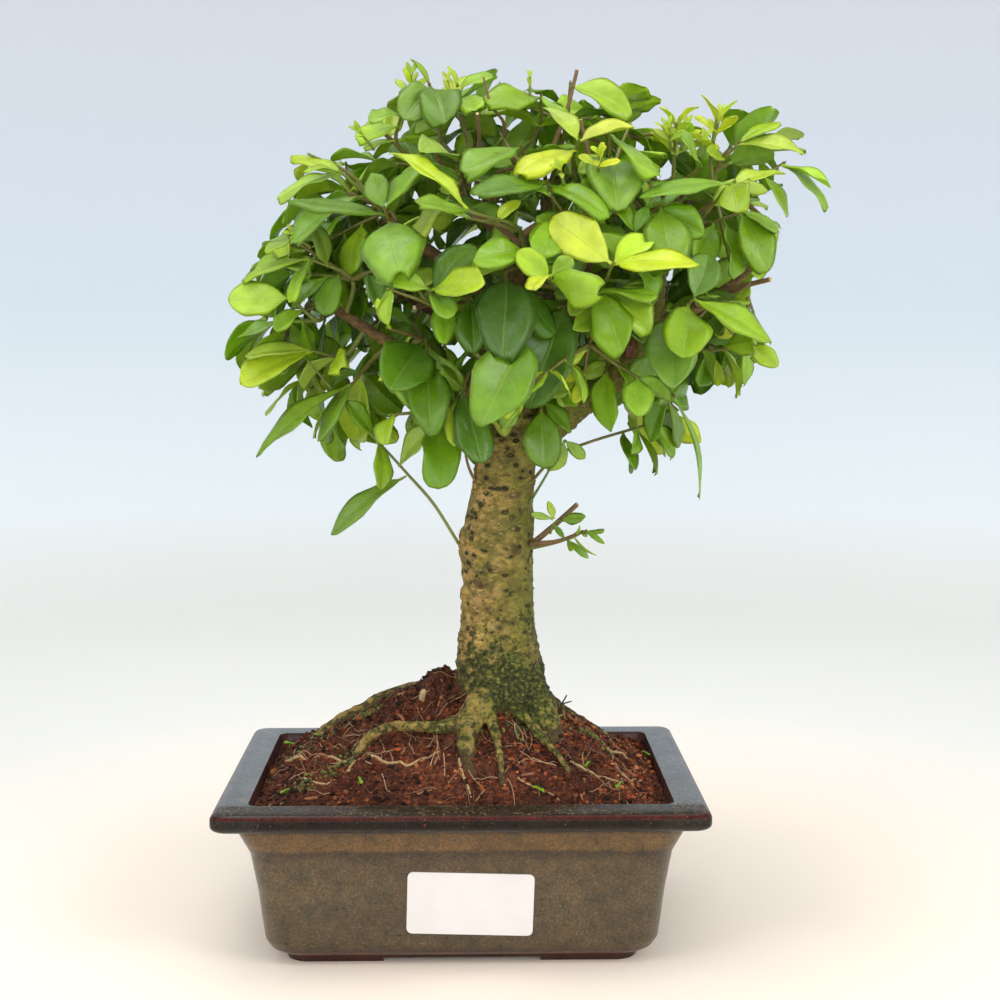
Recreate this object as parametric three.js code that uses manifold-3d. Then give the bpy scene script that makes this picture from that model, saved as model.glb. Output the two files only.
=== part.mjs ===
// Chinese privet bonsai in a glazed rectangular pot: a thick tapering trunk with surface roots, a forked
// scaffold of branches, and leafy shoots that carry opposite pairs of oval leaves. Millimetres, +Z up.
// While it is being made, the tree stands in the pot's own frame: x to the right, y to the back, z up from
// the surface that the pot stands on. The last lines move the origin to the bottom centre of the whole.
import * as THREE from "three";
import { mergeVertices } from "three/addons/utils/BufferGeometryUtils.js";
import Module from "manifold-3d";

const wasm = await Module();
wasm.setup();

// Pot
const POT_WIDTH = 190;
const POT_DEPTH = 140;
const POT_HEIGHT = 66.5;
const RIM_WIDTH = 13;
const FLOOR_UNDERSIDE = 3;
const FLOOR_TOP = 9;
const CORNER_POINTS = 4;
const DRAIN_RADIUS = 7;
const DRAIN_X = 38;
const FOOT_NOTCH = { length: 62, height: 1.6 };

// Gap that separate solids keep from each other
const GAP = 0.3;

// Mesh pads over the drain holes
const PAD = { side: 24, thickness: 1.2, holes: 3, bar: 2 };

// Paper label on the front of the pot
const LABEL = { width: 49, height: 24.5, thickness: 0.4, corner: 2.2, x: 4, z: 25.2, turn: -0.03 };

// Soil: level at the rim, with a mound round the trunk that falls off slowly to the left
const SOIL_RIM_Z = 62.5;
const MOUND = { x: 12, y: 4, rise: 42, left: 73, right: 51, deep: 47 };
const SOIL_EDGE = 15;
const SOIL_RINGS = 6;
const SOIL_SIDE_POINTS = { x: 2, y: 1 };

// Trunk: centre x, y, height z and radius, from the plug in the soil to the fork
const TRUNK = [
  [16, 2, 40, 14],
  [16, 1, 70, 19],
  [17, 0, 88, 21],
  [16.4, 0, 97, 19.2],
  [15.4, 0, 112, 17.2],
  [15.2, 0, 128, 15.4],
  [15.2, 0, 142, 14.4],
  [14, 0, 160, 14.9],
  [15.5, 0, 174, 13.8],
  [16.8, 0, 188, 12.7],
  [19, 0, 201, 12],
  [22.5, 1, 212, 9.6],
];
const TRUNK_SIDES = 12;
const TRUNK_RIPPLE = 0.045;

// Branches: each starts inside what it grows from, and every point is x, y, z and radius
const LIMBS = {
  leader: [
    [21, 1, 206, 8.6], [25, 3, 220, 7.6], [28, 6, 238, 6.2], [27, 9, 256, 4.8], [20, 10, 276, 3.6],
    [12, 8, 298, 2.6], [6, 6, 314, 1.9],
  ],
  right: [
    [24, 0, 199, 8.4], [40, -3, 212, 7.4], [56, -5, 224, 6], [70, -4, 234, 4.9], [78, 0, 250, 4.1],
    [80, 2, 268, 3.2], [82, 4, 288, 2.2],
  ],
  rightTop: [[80, 2, 268, 2.8], [90, -4, 286, 2.4], [101, -8, 297, 2], [110, -10, 302, 1.6]],
  rightOuter: [[76, -1, 246, 3.6], [90, -4, 254, 2.8], [104, -8, 262, 2.2], [116, -10, 272, 1.7]],
  rightLow: [[60, -5, 226, 3.4], [74, -12, 226, 2.4], [88, -18, 230, 1.8]],
  rightBack: [[70, -3, 234, 3.6], [78, 18, 240, 2.6], [84, 40, 248, 2]],
  middle: [
    [28, 5, 238, 5], [38, 0, 249, 4.2], [46, -6, 260, 3.5], [51, -10, 280, 2.6], [54, -10, 298, 1.9],
  ],
  front: [[28, 3, 236, 4.6], [23, -16, 254, 3.6], [22, -34, 270, 2.8], [23, -44, 277, 2.2]],
  frontLow: [[22, -6, 214, 4], [16, -22, 224, 2.8], [8, -38, 236, 2]],
  left: [
    [22, 2, 216, 4.8], [2, -4, 226, 3.7], [-18, -8, 236, 2.9], [-38, -8, 248, 2.3], [-54, -8, 258, 1.8],
  ],
  leftUpper: [[27, 8, 246, 4], [8, 6, 262, 3.1], [-12, 4, 278, 2.4], [-30, 4, 292, 1.8]],
  leftBack: [[25, 7, 230, 4], [6, 24, 244, 2.9], [-14, 40, 256, 2.2], [-28, 50, 264, 1.7]],
  back: [[27, 8, 240, 4.2], [34, 28, 254, 3.1], [40, 48, 264, 2.3], [44, 62, 272, 1.8]],
  topLeft: [[16, 9, 286, 2.9], [0, 7, 303, 2.2], [-10, 3, 316, 1.6]],
  topBack: [[25, 10, 262, 3.4], [32, 26, 284, 2.5], [36, 36, 302, 1.8]],
};
const LIMB_SIDES = 6;

// Roots that show: x, y, z and radius
const ROOTS = {
  frontKnee: [
    [15, -8, 103, 6.5], [9, -19, 98, 6.6], [3, -27, 91, 5.6], [2, -33, 85, 4.6], [3, -40, 78, 3.2],
    [4, -44, 68, 2.4],
  ],
  frontLeft: [
    [3, -25, 92, 4.6], [-8, -29, 90, 3.4], [-20, -29, 90.5, 3], [-30, -27, 89.5, 2.4],
    [-38, -26, 84, 2],
  ],
  frontRight: [
    [16, -15, 99, 2.4], [25, -23, 93, 2.1], [32, -30, 86, 2], [40, -37, 78, 1.7], [44, -41, 70, 1.5],
  ],
  frontDown: [
    [11, -20, 94, 3.2], [12, -26, 92, 2.6], [14, -34, 86, 2.3], [15, -40, 80.5, 2], [16, -46, 71, 1.6],
  ],
  buttress: [[26, -6, 104, 7.6], [31, -13, 93, 8], [34, -18, 84, 6.6], [36, -22, 74, 5]],
  backLeft: [
    [6, 8, 98, 6.4], [-10, 13, 97, 5.4], [-28, 15, 94, 4.8], [-44, 15, 87, 4.2], [-57, 13, 79.5, 3.4],
    [-66, 9, 72, 2.4],
  ],
  backRight: [
    [26, 9, 97, 6], [40, 14, 94, 4.4], [52, 17, 86, 3.4], [62, 18, 77, 2.4], [69, 18, 69, 1.8],
  ],
  back: [[13, 14, 99, 6], [8, 26, 97, 4.6], [2, 38, 87.5, 3.4], [-2, 47, 75, 2.2]],
};
const ROOT_SIDES = 6;

// Cut ends of pruned twigs that stick out of the crown: x, y, z from and to, and radius
const STUBS = [
  [[53, -10, 297], [47, -16, 330], 1.3],
  [[54, -10, 297], [61, -18, 346], 1.2],
  [[10, 6, 302], [15, -22, 332], 1.2],
  [[23, -2, 155], [47, -7, 175.5], 1.6],
  [[104, -8, 262], [121, -24, 267], 1.1],
  [[8, 6, 262], [-18, -22, 256], 1.2],
];

// Leaf: half widths along the blade as shares of its length and its greatest half width
const LEAF_OUTLINE = [[0.28, 0.72], [0.56, 1], [0.83, 0.68]];
const SMALL_LEAF_OUTLINE = [[0.36, 0.94], [0.74, 0.8]];
const SMALL_LEAF_LENGTH = 29;
const LEAF_THICKNESS = 0.65;
const LEAF_ASPECT = 0.62;
const SHOOT_SPACING = 5.5;
const LEAF_TRIES = 9;
const LEAF_CLEARANCE = 0.45;
const STEM_RADIUS = 0.95;
const STEM_SIDES = 4;
const FORK = { pairs: 4, leaf: 26, droop: 0.4, radius: 0.8 };
const FORK_NUDGES = [
  [0, 0, 0], [0, 0, 5], [0, 0, -5], [5, 0, 0], [-5, 0, 0], [0, 5, 0], [0, -5, 0], [5, 5, 5], [-5, -5, -5],
  [-6, 6, 0], [6, -6, 0], [8, 0, 6], [-8, 0, 6], [0, 9, 6], [0, -9, 6], [0, 9, -6], [0, -9, -6],
];
const CROWN = new THREE.Vector3(26, 0, 245);

// Leafy shoots. Each stem runs from its branch to foot and on to tip. The blades in a row are leaves that
// are placed one by one: how far along from foot to tip it grows, x, y, z of the leaf's tip, and how wide
// it looks from the front as a share of its length. Pairs is how many pairs of opposite leaves grow by rule
// as well, leaf is the length of those blades, droop is how far they hang (0 to 1) and slim narrows them.
// Forks are the tips of side stems that leave the stem at its foot and carry pairs of leaves as well.
const SHOOTS = {
  limePairFront: {
    foot: [50, -47, 262], tip: [55, -76, 271], pairs: 1, leaf: 27, droop: 0.5, young: true,
    blades: [[1, 34, -70, 288, 0.62], [1, 82, -90, 271, 0.4], [0.9, 69, -68, 281, 0.5]],
  },
  limeTuftFront: {
    foot: [35, -57, 264], tip: [32, -80, 266], young: true,
    blades: [
      [1, 21, -77, 275, 0.7], [1, 42, -75, 273, 0.7], [0.8, 49, -92, 258, 0.7], [1, 25, -96, 263, 0.35],
    ],
  },
  limeSlab: {
    foot: [24, -54, 276], tip: [24, -67, 276], pairs: 1, leaf: 25, droop: 0.4, young: true,
    blades: [[1, 7, -80, 273, 0.55], [1, 49, -80, 270, 0.42]],
  },
  curtainCentre: {
    foot: [17, -48, 268], tip: [23, -62, 245], pairs: 1, leaf: 25, droop: 0.6,
    blades: [[0.05, 16, -74, 242, 0.72], [1, 10, -78, 215, 0.64]],
  },
  curtainRight: {
    foot: [43, -33, 259], tip: [37, -52, 256], pairs: 1, leaf: 25, droop: 0.5,
    blades: [[1, 35, -68, 227, 0.56], [0.5, 27, -50, 220, 0.6]],
  },
  cheekCentre: {
    foot: [54, -42, 254], tip: [50, -60, 262], pairs: 1, leaf: 23, droop: 0.5,
    blades: [[1, 59, -76, 241, 0.62], [0.9, 79, -72, 261, 0.4]],
  },
  forkedPair: {
    foot: [68, -44, 273], tip: [64, -60, 283],
    blades: [[1, 57, -55, 294, 0.5], [1, 71, -54, 294, 0.5], [0.3, 69, -62, 258, 0.5]],
  },
  roundRight: {
    foot: [67, -36, 291], tip: [74, -58, 293],
    blades: [[1, 77, -74, 265, 0.62], [0.9, 87, -66, 282, 0.7], [0.4, 66, -50, 303, 0.4]],
  },
  templeRight: {
    foot: [94, -32, 292], tip: [102, -50, 302], young: true,
    blades: [
      [1, 68, -66, 299, 0.3], [1, 98, -66, 289, 0.75], [1, 113, -56, 299, 0.5],
      [0.8, 123, -40, 308, 0.3],
    ],
  },
  longBladeRight: {
    foot: [59, -26, 308], tip: [56, -42, 321], pairs: 1, leaf: 24, droop: 0.3,
    blades: [[1, 73, -60, 303, 0.34], [0.4, 56, -62, 295, 0.72]],
  },
  yellowPairTop: {
    foot: [43, -34, 310], tip: [44, -52, 317], young: true,
    blades: [[1, 33, -46, 331, 0.5], [1, 64, -46, 323, 0.36], [0.6, 22, -66, 307, 0.42]],
  },
  browCentre: {
    foot: [35, -46, 291], tip: [32, -60, 301],
    blades: [[1, 8, -80, 297, 0.42], [0.9, 51, -76, 291, 0.42], [0.5, 47, -66, 306, 0.5]],
  },
  yellowBlade: {
    foot: [22, -54, 284], tip: [3, -72, 290], young: true,
    blades: [
      [1, -22, -62, 313, 0.26], [1, -14, -86, 291, 0.4], [0.97, -17, -64, 303, 0.5],
      [0.45, 21, -60, 295, 0.45],
    ],
  },
  roundLeft: {
    foot: [-25, -40, 284], tip: [-28, -54, 292],
    blades: [
      [0.5, -24, -76, 271, 0.92], [1, -34, -46, 305, 0.66], [1, -17, -44, 309, 0.4],
      [0.7, -63, -46, 295, 0.3],
    ],
  },
  leftWing: {
    foot: [-35, -14, 298], tip: [-46, -22, 308], young: true,
    blades: [
      [1, -70, -28, 299, 0.24], [1, -66, -22, 305, 0.42], [0.9, -65, -12, 316, 0.34],
      [0.2, -62, -36, 281, 0.36],
    ],
  },
  leftFan: {
    foot: [-43, -12, 267], tip: [-59, -20, 275], young: true,
    blades: [
      [1, -84, -26, 269, 0.24], [1, -67, -28, 260, 0.4], [0.6, -56, -26, 289, 0.4],
      [0.3, -54, -24, 255, 0.6],
    ],
    forks: [[-76, 12, 272]],
  },
  limeRoundLeft: {
    foot: [-56, -16, 251], tip: [-67, -22, 260], young: true,
    blades: [[1, -89, -26, 260, 0.66], [0.5, -72, -26, 247, 0.45], [0.1, -45, -22, 268, 0.6]],
    forks: [[-80, 4, 250]],
  },
  leftShelf: {
    foot: [-47, -6, 237], tip: [-59, -14, 239], pairs: 1, leaf: 22, droop: 0.4, young: true,
    blades: [[1, -84, -20, 238, 0.3], [1, -86, -22, 227, 0.4]],
    forks: [[-68, 18, 236]],
  },
  leftLowPair: {
    foot: [-36, -10, 235], tip: [-43, -16, 226],
    blades: [[1, -80, -26, 201, 0.28], [1, -56, -24, 205, 0.36], [0.5, -41, 4, 202, 0.55]],
    forks: [[-48, 16, 220]],
  },
  longShoot: {
    foot: [-12, -8, 176], tip: [-36, -14, 206], young: true,
    blades: [
      [0.42, -51, -22, 169, 0.34], [0.9, -30, -22, 186, 0.4], [1, -46, -14, 219, 0.36],
      [0.55, -12, -20, 208, 0.4],
    ],
  },
  veilLeft: {
    foot: [-4, -12, 204], tip: [-11, -32, 213],
    blades: [[0.9, -8, -46, 190, 0.58], [1, -25, -42, 192, 0.45]],
  },
  veilFarLeft: {
    foot: [-14, -28, 244], tip: [-13, -46, 235], pairs: 1, leaf: 24, droop: 0.7,
    blades: [[1, -11, -60, 211, 0.62], [0.3, -27, -64, 228, 0.66]],
  },
  shadeLeft: {
    foot: [-2, -38, 262], tip: [4, -54, 259],
    blades: [[1, 6, -66, 241, 0.66], [0.5, -5, -62, 243, 0.85], [1, 1, -60, 231, 0.5]],
  },
  limePairLeft: {
    foot: [-7, -44, 253], tip: [-11, -66, 262], young: true,
    blades: [
      [1, -28, -68, 269, 0.55], [1, 7, -82, 263, 0.5], [0.9, 3, -55, 280, 0.6],
      [0.8, -5, -78, 254, 0.55],
    ],
  },
  tasselCentre: {
    foot: [5, -32, 232], tip: [0, -44, 224],
    blades: [[1, 8, -56, 199, 0.56], [0.9, -9, -50, 232, 0.5]],
  },
  tasselRight: {
    foot: [35, -24, 225], tip: [31, -36, 217],
    blades: [[1, 31, -46, 197, 0.78], [0.7, 43, -34, 209, 0.5]],
  },
  paleClusterRight: {
    foot: [80, -38, 250], tip: [87, -54, 259], young: true,
    blades: [
      [1, 112, -66, 243, 0.42], [1, 94, -46, 275, 0.85], [0.8, 80, -72, 239, 0.64],
      [0.2, 77, -66, 228, 0.6],
    ],
  },
  rightHang: {
    foot: [99, -23, 289], tip: [109, -29, 293],
    blades: [
      [0.9, 118, -38, 272, 0.6], [1, 125, -30, 282, 0.5], [0.3, 104, -38, 268, 0.45],
      [0, 92, -30, 273, 0.7],
    ],
  },
  rightCrest: {
    foot: [101, -10, 310], tip: [109, -16, 320],
    blades: [[1, 133, -22, 317, 0.36], [1, 125, -12, 330, 0.3], [0.4, 93, -20, 321, 0.5]],
    forks: [[120, 8, 320]],
  },
  rightTip: {
    foot: [116, -15, 306], tip: [126, -18, 312],
    blades: [[1, 144, -24, 304, 0.3], [1, 145, -20, 298, 0.24], [0.3, 130, -14, 293, 0.4]],
  },
  rightLowTwig: {
    foot: [92, -12, 240], tip: [116, -20, 241], pairs: 2, leaf: 19, droop: 0.4,
    blades: [[1, 124, -24, 233, 0.75]],
  },
  rightTassel: {
    foot: [80, -22, 225], tip: [83, -27, 222],
    blades: [[1, 98, -28, 185, 0.2], [1, 90, -26, 206, 0.42], [0.6, 75, -20, 204, 0.4]],
  },
  forkLeaf: {
    foot: [60, -12, 236], tip: [57, -20, 231], pairs: 1, leaf: 13, droop: 0.2,
    blades: [[1, 57, -26, 209, 0.5]],
  },
  rightUnder: { foot: [60, -8, 205], tip: [76, -14, 210], pairs: 3, leaf: 20, droop: 0.8 },
  topLeftRound: {
    foot: [-8, -2, 327], tip: [-12, -8, 343], pairs: 1, leaf: 22, droop: 0.3,
    blades: [[1, -19, -26, 330, 0.78], [1, -9, -28, 327, 0.78], [1, -19, -8, 353, 0.3]],
  },
  topLight: {
    foot: [1, 2, 330], tip: [-1, -4, 343],
    blades: [[1, 12, -8, 348, 0.38], [1, -5, -6, 351, 0.35], [0.7, 8, -22, 331, 0.7]],
    forks: [[-8, 24, 342]],
  },
  topBroad: {
    foot: [31, 4, 327], tip: [32, -6, 339], pairs: 1, leaf: 23, droop: 0.3,
    blades: [[1, 13, -24, 336, 0.5], [1, 39, -24, 331, 0.4]],
  },
  topBright: {
    foot: [43, 8, 331], tip: [44, 2, 345], pairs: 1, leaf: 23, droop: 0.2,
    blades: [[1, 67, -8, 335, 0.45]],
    forks: [[64, 26, 340], [24, 28, 341]],
  },
  crestLeft: {
    foot: [-25, -10, 320], tip: [-23, -18, 331], pairs: 1, leaf: 20, droop: 0.3,
    blades: [[1, -34, -28, 328, 0.42], [0.6, -39, -24, 321, 0.4]],
  },
  browLeft: {
    foot: [1, -30, 305], tip: [-1, -40, 311], pairs: 1, leaf: 23, droop: 0.3,
    blades: [[1, -19, -60, 313, 0.48]],
  },
  browLight: {
    foot: [25, -26, 310], tip: [23, -38, 316], pairs: 1, leaf: 24, droop: 0.2,
    blades: [[1, 3, -60, 306, 0.4]],
  },
  newGrowthRight: {
    foot: [85, -6, 312], tip: [85, -12, 327], pairs: 3, leaf: 13, droop: 0, slim: 0.8, young: true,
  },
  newGrowthTip: {
    foot: [99, -12, 312], tip: [100, -18, 329], pairs: 3, leaf: 14, droop: 0, slim: 0.8, young: true,
  },
  curlRight: {
    foot: [87, -18, 304], tip: [92, -30, 309], pairs: 1, leaf: 22, droop: 0.5,
    blades: [[1, 83, -46, 319, 0.36]],
  },
  trunkTwig: {
    foot: [40, -8, 162], tip: [48, -12, 166], pairs: 3, leaf: 12, droop: 0.3, slim: 0.7, young: true,
  },
  backLeftHigh: {
    foot: [-30, 16, 296], tip: [-63, 38, 299], pairs: 5, leaf: 27, droop: 0.4,
    forks: [[-64, 8, 284], [-44, 44, 284]],
  },
  backLeftLow: {
    foot: [-35, 54, 264], tip: [-66, 62, 250], pairs: 5, leaf: 27, droop: 0.5,
    forks: [[-60, 36, 266]],
  },
  backCentreLeft: {
    foot: [8, 56, 268], tip: [-16, 90, 276], pairs: 5, leaf: 27, droop: 0.5,
    forks: [[-22, 68, 290]],
  },
  backCentre: {
    foot: [46, 62, 273], tip: [62, 94, 282], pairs: 5, leaf: 27, droop: 0.5,
    forks: [[76, 78, 262]],
  },
  backUnder: { foot: [36, 46, 254], tip: [16, 82, 234], pairs: 4, leaf: 27, droop: 0.6 },
  backRightLow: {
    foot: [86, 42, 248], tip: [116, 66, 246], pairs: 5, leaf: 26, droop: 0.6,
    forks: [[108, 26, 240], [92, 66, 268]],
  },
  backRightHigh: {
    foot: [84, 22, 292], tip: [112, 52, 306], pairs: 5, leaf: 27, droop: 0.4,
    forks: [[112, 20, 318], [84, 54, 316]],
  },
  backTop: {
    foot: [38, 44, 304], tip: [54, 72, 326], pairs: 5, leaf: 26, droop: 0.4,
    forks: [[18, 60, 334], [68, 44, 332]],
  },
  backTopLeft: {
    foot: [4, 24, 312], tip: [-18, 54, 328], pairs: 5, leaf: 26, droop: 0.4,
    forks: [[8, 46, 340], [-36, 34, 318]],
  },
};

const UP = new THREE.Vector3(0, 0, 1);
const FRONT = new THREE.Vector3(0, -1, 0);
const point = ([x, y, z]) => new THREE.Vector3(x, y, z);

// Seeded random numbers from 0 to 1
function random(seed) {
  let state = seed >>> 0;
  return () => {
    state = (state + 0x6d2b79f5) >>> 0;
    let t = Math.imul(state ^ (state >>> 15), state | 1);
    t ^= t + Math.imul(t ^ (t >>> 7), t | 61);
    return ((t ^ (t >>> 14)) >>> 0) / 4294967296;
  };
}

// A closed mesh as a solid, and a solid as a geometry
function solid(geometry) {
  const bare = geometry.index ? geometry.toNonIndexed() : geometry.clone();
  bare.deleteAttribute("normal");
  bare.deleteAttribute("uv");
  const merged = mergeVertices(bare, 1e-4);
  return new wasm.Manifold(
    new wasm.Mesh({
      numProp: 3,
      vertProperties: merged.attributes.position.array,
      triVerts: new Uint32Array(merged.index.array),
    }),
  );
}

function geometryOf(made) {
  const mesh = made.getMesh();
  const geometry = new THREE.BufferGeometry();
  geometry.setAttribute("position", new THREE.BufferAttribute(mesh.vertProperties, 3));
  geometry.setIndex(new THREE.BufferAttribute(mesh.triVerts, 1));
  const flat = geometry.toNonIndexed();
  flat.computeVertexNormals();
  return flat;
}

const join = (solids) => solids.reduce((whole, next) => whole.add(next));

// Closed skin over rings that have the same number of points, counter-clockwise seen from the last ring
function loft(rings) {
  const count = rings[0].length;
  const corners = [];
  for (let r = 0; r + 1 < rings.length; r++) {
    for (let i = 0; i < count; i++) {
      const j = (i + 1) % count;
      const [a, b, c, d] = [rings[r][i], rings[r][j], rings[r + 1][j], rings[r + 1][i]];
      corners.push(a, b, c, a, c, d);
    }
  }
  const last = rings[rings.length - 1];
  for (let i = 1; i + 1 < count; i++) {
    corners.push(rings[0][0], rings[0][i + 1], rings[0][i]);
    corners.push(last[0], last[i], last[i + 1]);
  }
  return new THREE.BufferGeometry().setFromPoints(corners);
}

// Level ring in the shape of a rectangle with round corners
function roundedRectangle(halfX, halfY, radius, z) {
  const ring = [];
  for (let corner = 0; corner < 4; corner++) {
    const sideX = corner === 0 || corner === 3 ? 1 : -1;
    const sideY = corner < 2 ? 1 : -1;
    for (let i = 0; i < CORNER_POINTS; i++) {
      const angle = (Math.PI / 2) * (corner + i / (CORNER_POINTS - 1));
      ring.push(
        new THREE.Vector3(
          sideX * (halfX - radius) + radius * Math.cos(angle),
          sideY * (halfY - radius) + radius * Math.sin(angle),
          z,
        ),
      );
    }
  }
  return ring;
}

// Tapering tube through points of x, y, z and radius; grow makes it fatter all round and past both ends
function taperedTube(points, sides, grow = 0, steps = 1) {
  const curve = new THREE.CatmullRomCurve3(points.map(point), false, "centripetal");
  const count = (points.length - 1) * steps;
  const rings = [];
  let across = null;
  for (let i = 0; i <= count; i++) {
    const t = i / count;
    const centre = curve.getPoint(t);
    const along = curve.getTangent(t);
    const seed = across ?? (Math.abs(along.z) > 0.9 ? new THREE.Vector3(1, 0, 0) : UP);
    across = seed.clone().addScaledVector(along, -seed.dot(along)).normalize();
    const third = along.clone().cross(across);
    const k = Math.min(Math.floor(i / steps), points.length - 2);
    const share = i / steps - k;
    const radius = points[k][3] * (1 - share) + points[k + 1][3] * share + grow;
    if (i === 0) centre.addScaledVector(along, -grow);
    if (i === count) centre.addScaledVector(along, grow);
    rings.push(
      Array.from({ length: sides }, (_, n) => {
        const angle = (2 * Math.PI * n) / sides;
        return centre
          .clone()
          .addScaledVector(across, radius * Math.cos(angle))
          .addScaledVector(third, radius * Math.sin(angle));
      }),
    );
  }
  return solid(loft(rings));
}

// Pot: a lofted body with a flat rim, hollow inside, a recessed underside, foot notches and two drain holes
const POT_OUTSIDE = [
  [25.5, 0, 9],
  [25, 3.2, 9],
  [22.5, 3.6, 11],
  [19.6, 5.6, 12],
  [18, 9.5, 12],
  [15.8, 30, 11],
  [13.6, 46, 10],
  [10.6, 57, 8],
  [10.2, 60, 8],
  [1.4, 60.2, 5],
  [0, 61.6, 5],
  [0, 64.6, 5],
  [1.6, 66.2, 4.5],
  [4, POT_HEIGHT, 4],
];
const POT_INSIDE = [
  [RIM_WIDTH, POT_HEIGHT + 1, 4],
  [RIM_WIDTH, POT_HEIGHT - 0.8, 4],
  [RIM_WIDTH + 1.2, 60, 4],
  [17.5, 50, 5],
  [21, 36, 6],
  [22.5, FLOOR_TOP + 4, 7],
  [26, FLOOR_TOP, 7],
];

const insetRing = ([inset, z, radius], extra = 0) =>
  roundedRectangle(POT_WIDTH / 2 - inset - extra, POT_DEPTH / 2 - inset - extra, radius, z);

function box(width, depth, height, x, y, z) {
  return solid(new THREE.BoxGeometry(width, depth, height).translate(x, y, z));
}

function makePot() {
  const body = solid(loft(POT_OUTSIDE.map((ring) => insetRing(ring))));
  const hollow = solid(loft(POT_INSIDE.toReversed().map((ring) => insetRing(ring))));
  const footInset = POT_OUTSIDE[0][0] + 6;
  const recess = solid(
    loft([insetRing([footInset + 1, -1, 5]), insetRing([footInset + 2, FLOOR_UNDERSIDE, 5])]),
  );
  const cuts = [hollow, recess];
  cuts.push(box(FOOT_NOTCH.length, POT_DEPTH, 2 * FOOT_NOTCH.height, 0, 0, 0));
  cuts.push(box(POT_WIDTH, FOOT_NOTCH.length * 0.6, 2 * FOOT_NOTCH.height, 0, 0, 0));
  for (const side of [-1, 1]) {
    const drain = new THREE.CylinderGeometry(DRAIN_RADIUS, DRAIN_RADIUS, 4 * FLOOR_TOP, 12);
    cuts.push(solid(drain.rotateX(Math.PI / 2).translate(side * DRAIN_X, 0, 0)));
  }
  return cuts.reduce((made, cut) => made.subtract(cut), body);
}

// Mesh pad: a square grid that keeps the soil in over a drain hole
function makePad(x, grow = 0) {
  const z = FLOOR_TOP + GAP + PAD.thickness / 2;
  const pad = box(PAD.side + 2 * grow, PAD.side + 2 * grow, PAD.thickness + 2 * grow, x, 0, z);
  if (grow > 0) return pad;
  const pitch = (PAD.side - PAD.bar) / PAD.holes;
  const offset = (n) => (n - (PAD.holes - 1) / 2) * pitch;
  const holes = [];
  for (let i = 0; i < PAD.holes; i++) {
    for (let j = 0; j < PAD.holes; j++) {
      const side = pitch - PAD.bar;
      holes.push(box(side, side, 2 * PAD.thickness, x + offset(i), offset(j), z));
    }
  }
  return holes.reduce((made, hole) => made.subtract(hole), pad);
}

// Label: a thin sheet with round corners that leans back with the pot's wall
function makeLabel() {
  const { width, height, thickness, corner, x, z, turn } = LABEL;
  const w = width / 2 - corner;
  const h = height / 2 - corner;
  const shape = new THREE.Shape();
  shape.absarc(w, h, corner, 0, Math.PI / 2);
  shape.absarc(-w, h, corner, Math.PI / 2, Math.PI);
  shape.absarc(-w, -h, corner, Math.PI, 1.5 * Math.PI);
  shape.absarc(w, -h, corner, 1.5 * Math.PI, 2 * Math.PI);
  const sheet = new THREE.ExtrudeGeometry(shape, {
    depth: thickness,
    bevelEnabled: false,
    curveSegments: 2,
  });
  const [[lowInset, lowZ], [highInset, highZ]] = [POT_OUTSIDE[4], POT_OUTSIDE[5]];
  const lean = Math.atan2(lowInset - highInset, highZ - lowZ);
  const wallInset = lowInset + ((highInset - lowInset) * (z - lowZ)) / (highZ - lowZ);
  sheet.rotateZ(turn).rotateX(Math.PI / 2 + lean);
  return solid(sheet.translate(x, -(POT_DEPTH / 2 - wallInset) - GAP, z));
}

// Height of the soil's surface
function soilHeight(x, y) {
  const wide = x < MOUND.x ? MOUND.left : MOUND.right;
  const fall = ((x - MOUND.x) / wide) ** 2 + ((y - MOUND.y) / MOUND.deep) ** 2;
  const mound = MOUND.rise * Math.exp(-fall);
  const halfX = POT_WIDTH / 2 - RIM_WIDTH - 1;
  const halfY = POT_DEPTH / 2 - RIM_WIDTH - 1;
  const inside = Math.min(halfX - Math.abs(x), halfY - Math.abs(y)) / SOIL_EDGE;
  const crumble = 0.8 * Math.sin(x * 0.31 + 1.7 * Math.sin(y * 0.23)) * Math.cos(y * 0.29);
  return SOIL_RIM_Z + mound * Math.min(1, Math.max(0, inside)) ** 0.6 + crumble;
}

// Soil ring: a rounded rectangle with further points along its straight sides
function soilRing([inset, z, radius]) {
  const ring = insetRing([inset, z, radius], GAP);
  const whole = [];
  ring.forEach((p, i) => {
    const next = ring[(i + 1) % ring.length];
    whole.push(p);
    if ((i + 1) % CORNER_POINTS > 0) return;
    const extra = Math.abs(next.x - p.x) > Math.abs(next.y - p.y) ? SOIL_SIDE_POINTS.x : SOIL_SIDE_POINTS.y;
    for (let k = 1; k <= extra; k++) whole.push(p.clone().lerp(next, k / (extra + 1)));
  });
  return whole;
}

// Soil: fills the pot up to just under the rim, with the mound as rings that close in on its top
function makeSoil(cutters) {
  const under = POT_INSIDE.toReversed().filter(([, z]) => z < SOIL_RIM_Z - 1);
  const rings = under.map((ring) => soilRing(ring));
  rings[0].forEach((p) => (p.z += GAP));
  const edge = soilRing([RIM_WIDTH + 0.7, 0, 4]);
  for (let r = 0; r < SOIL_RINGS; r++) {
    const share = 1 - (r / SOIL_RINGS) ** 1.15;
    rings.push(
      edge.map((p) => {
        const x = MOUND.x + (p.x - MOUND.x) * share;
        const y = MOUND.y + (p.y - MOUND.y) * share;
        return new THREE.Vector3(x, y, soilHeight(x, y));
      }),
    );
  }
  return cutters.reduce((made, cut) => made.subtract(cut), solid(loft(rings)));
}

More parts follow.
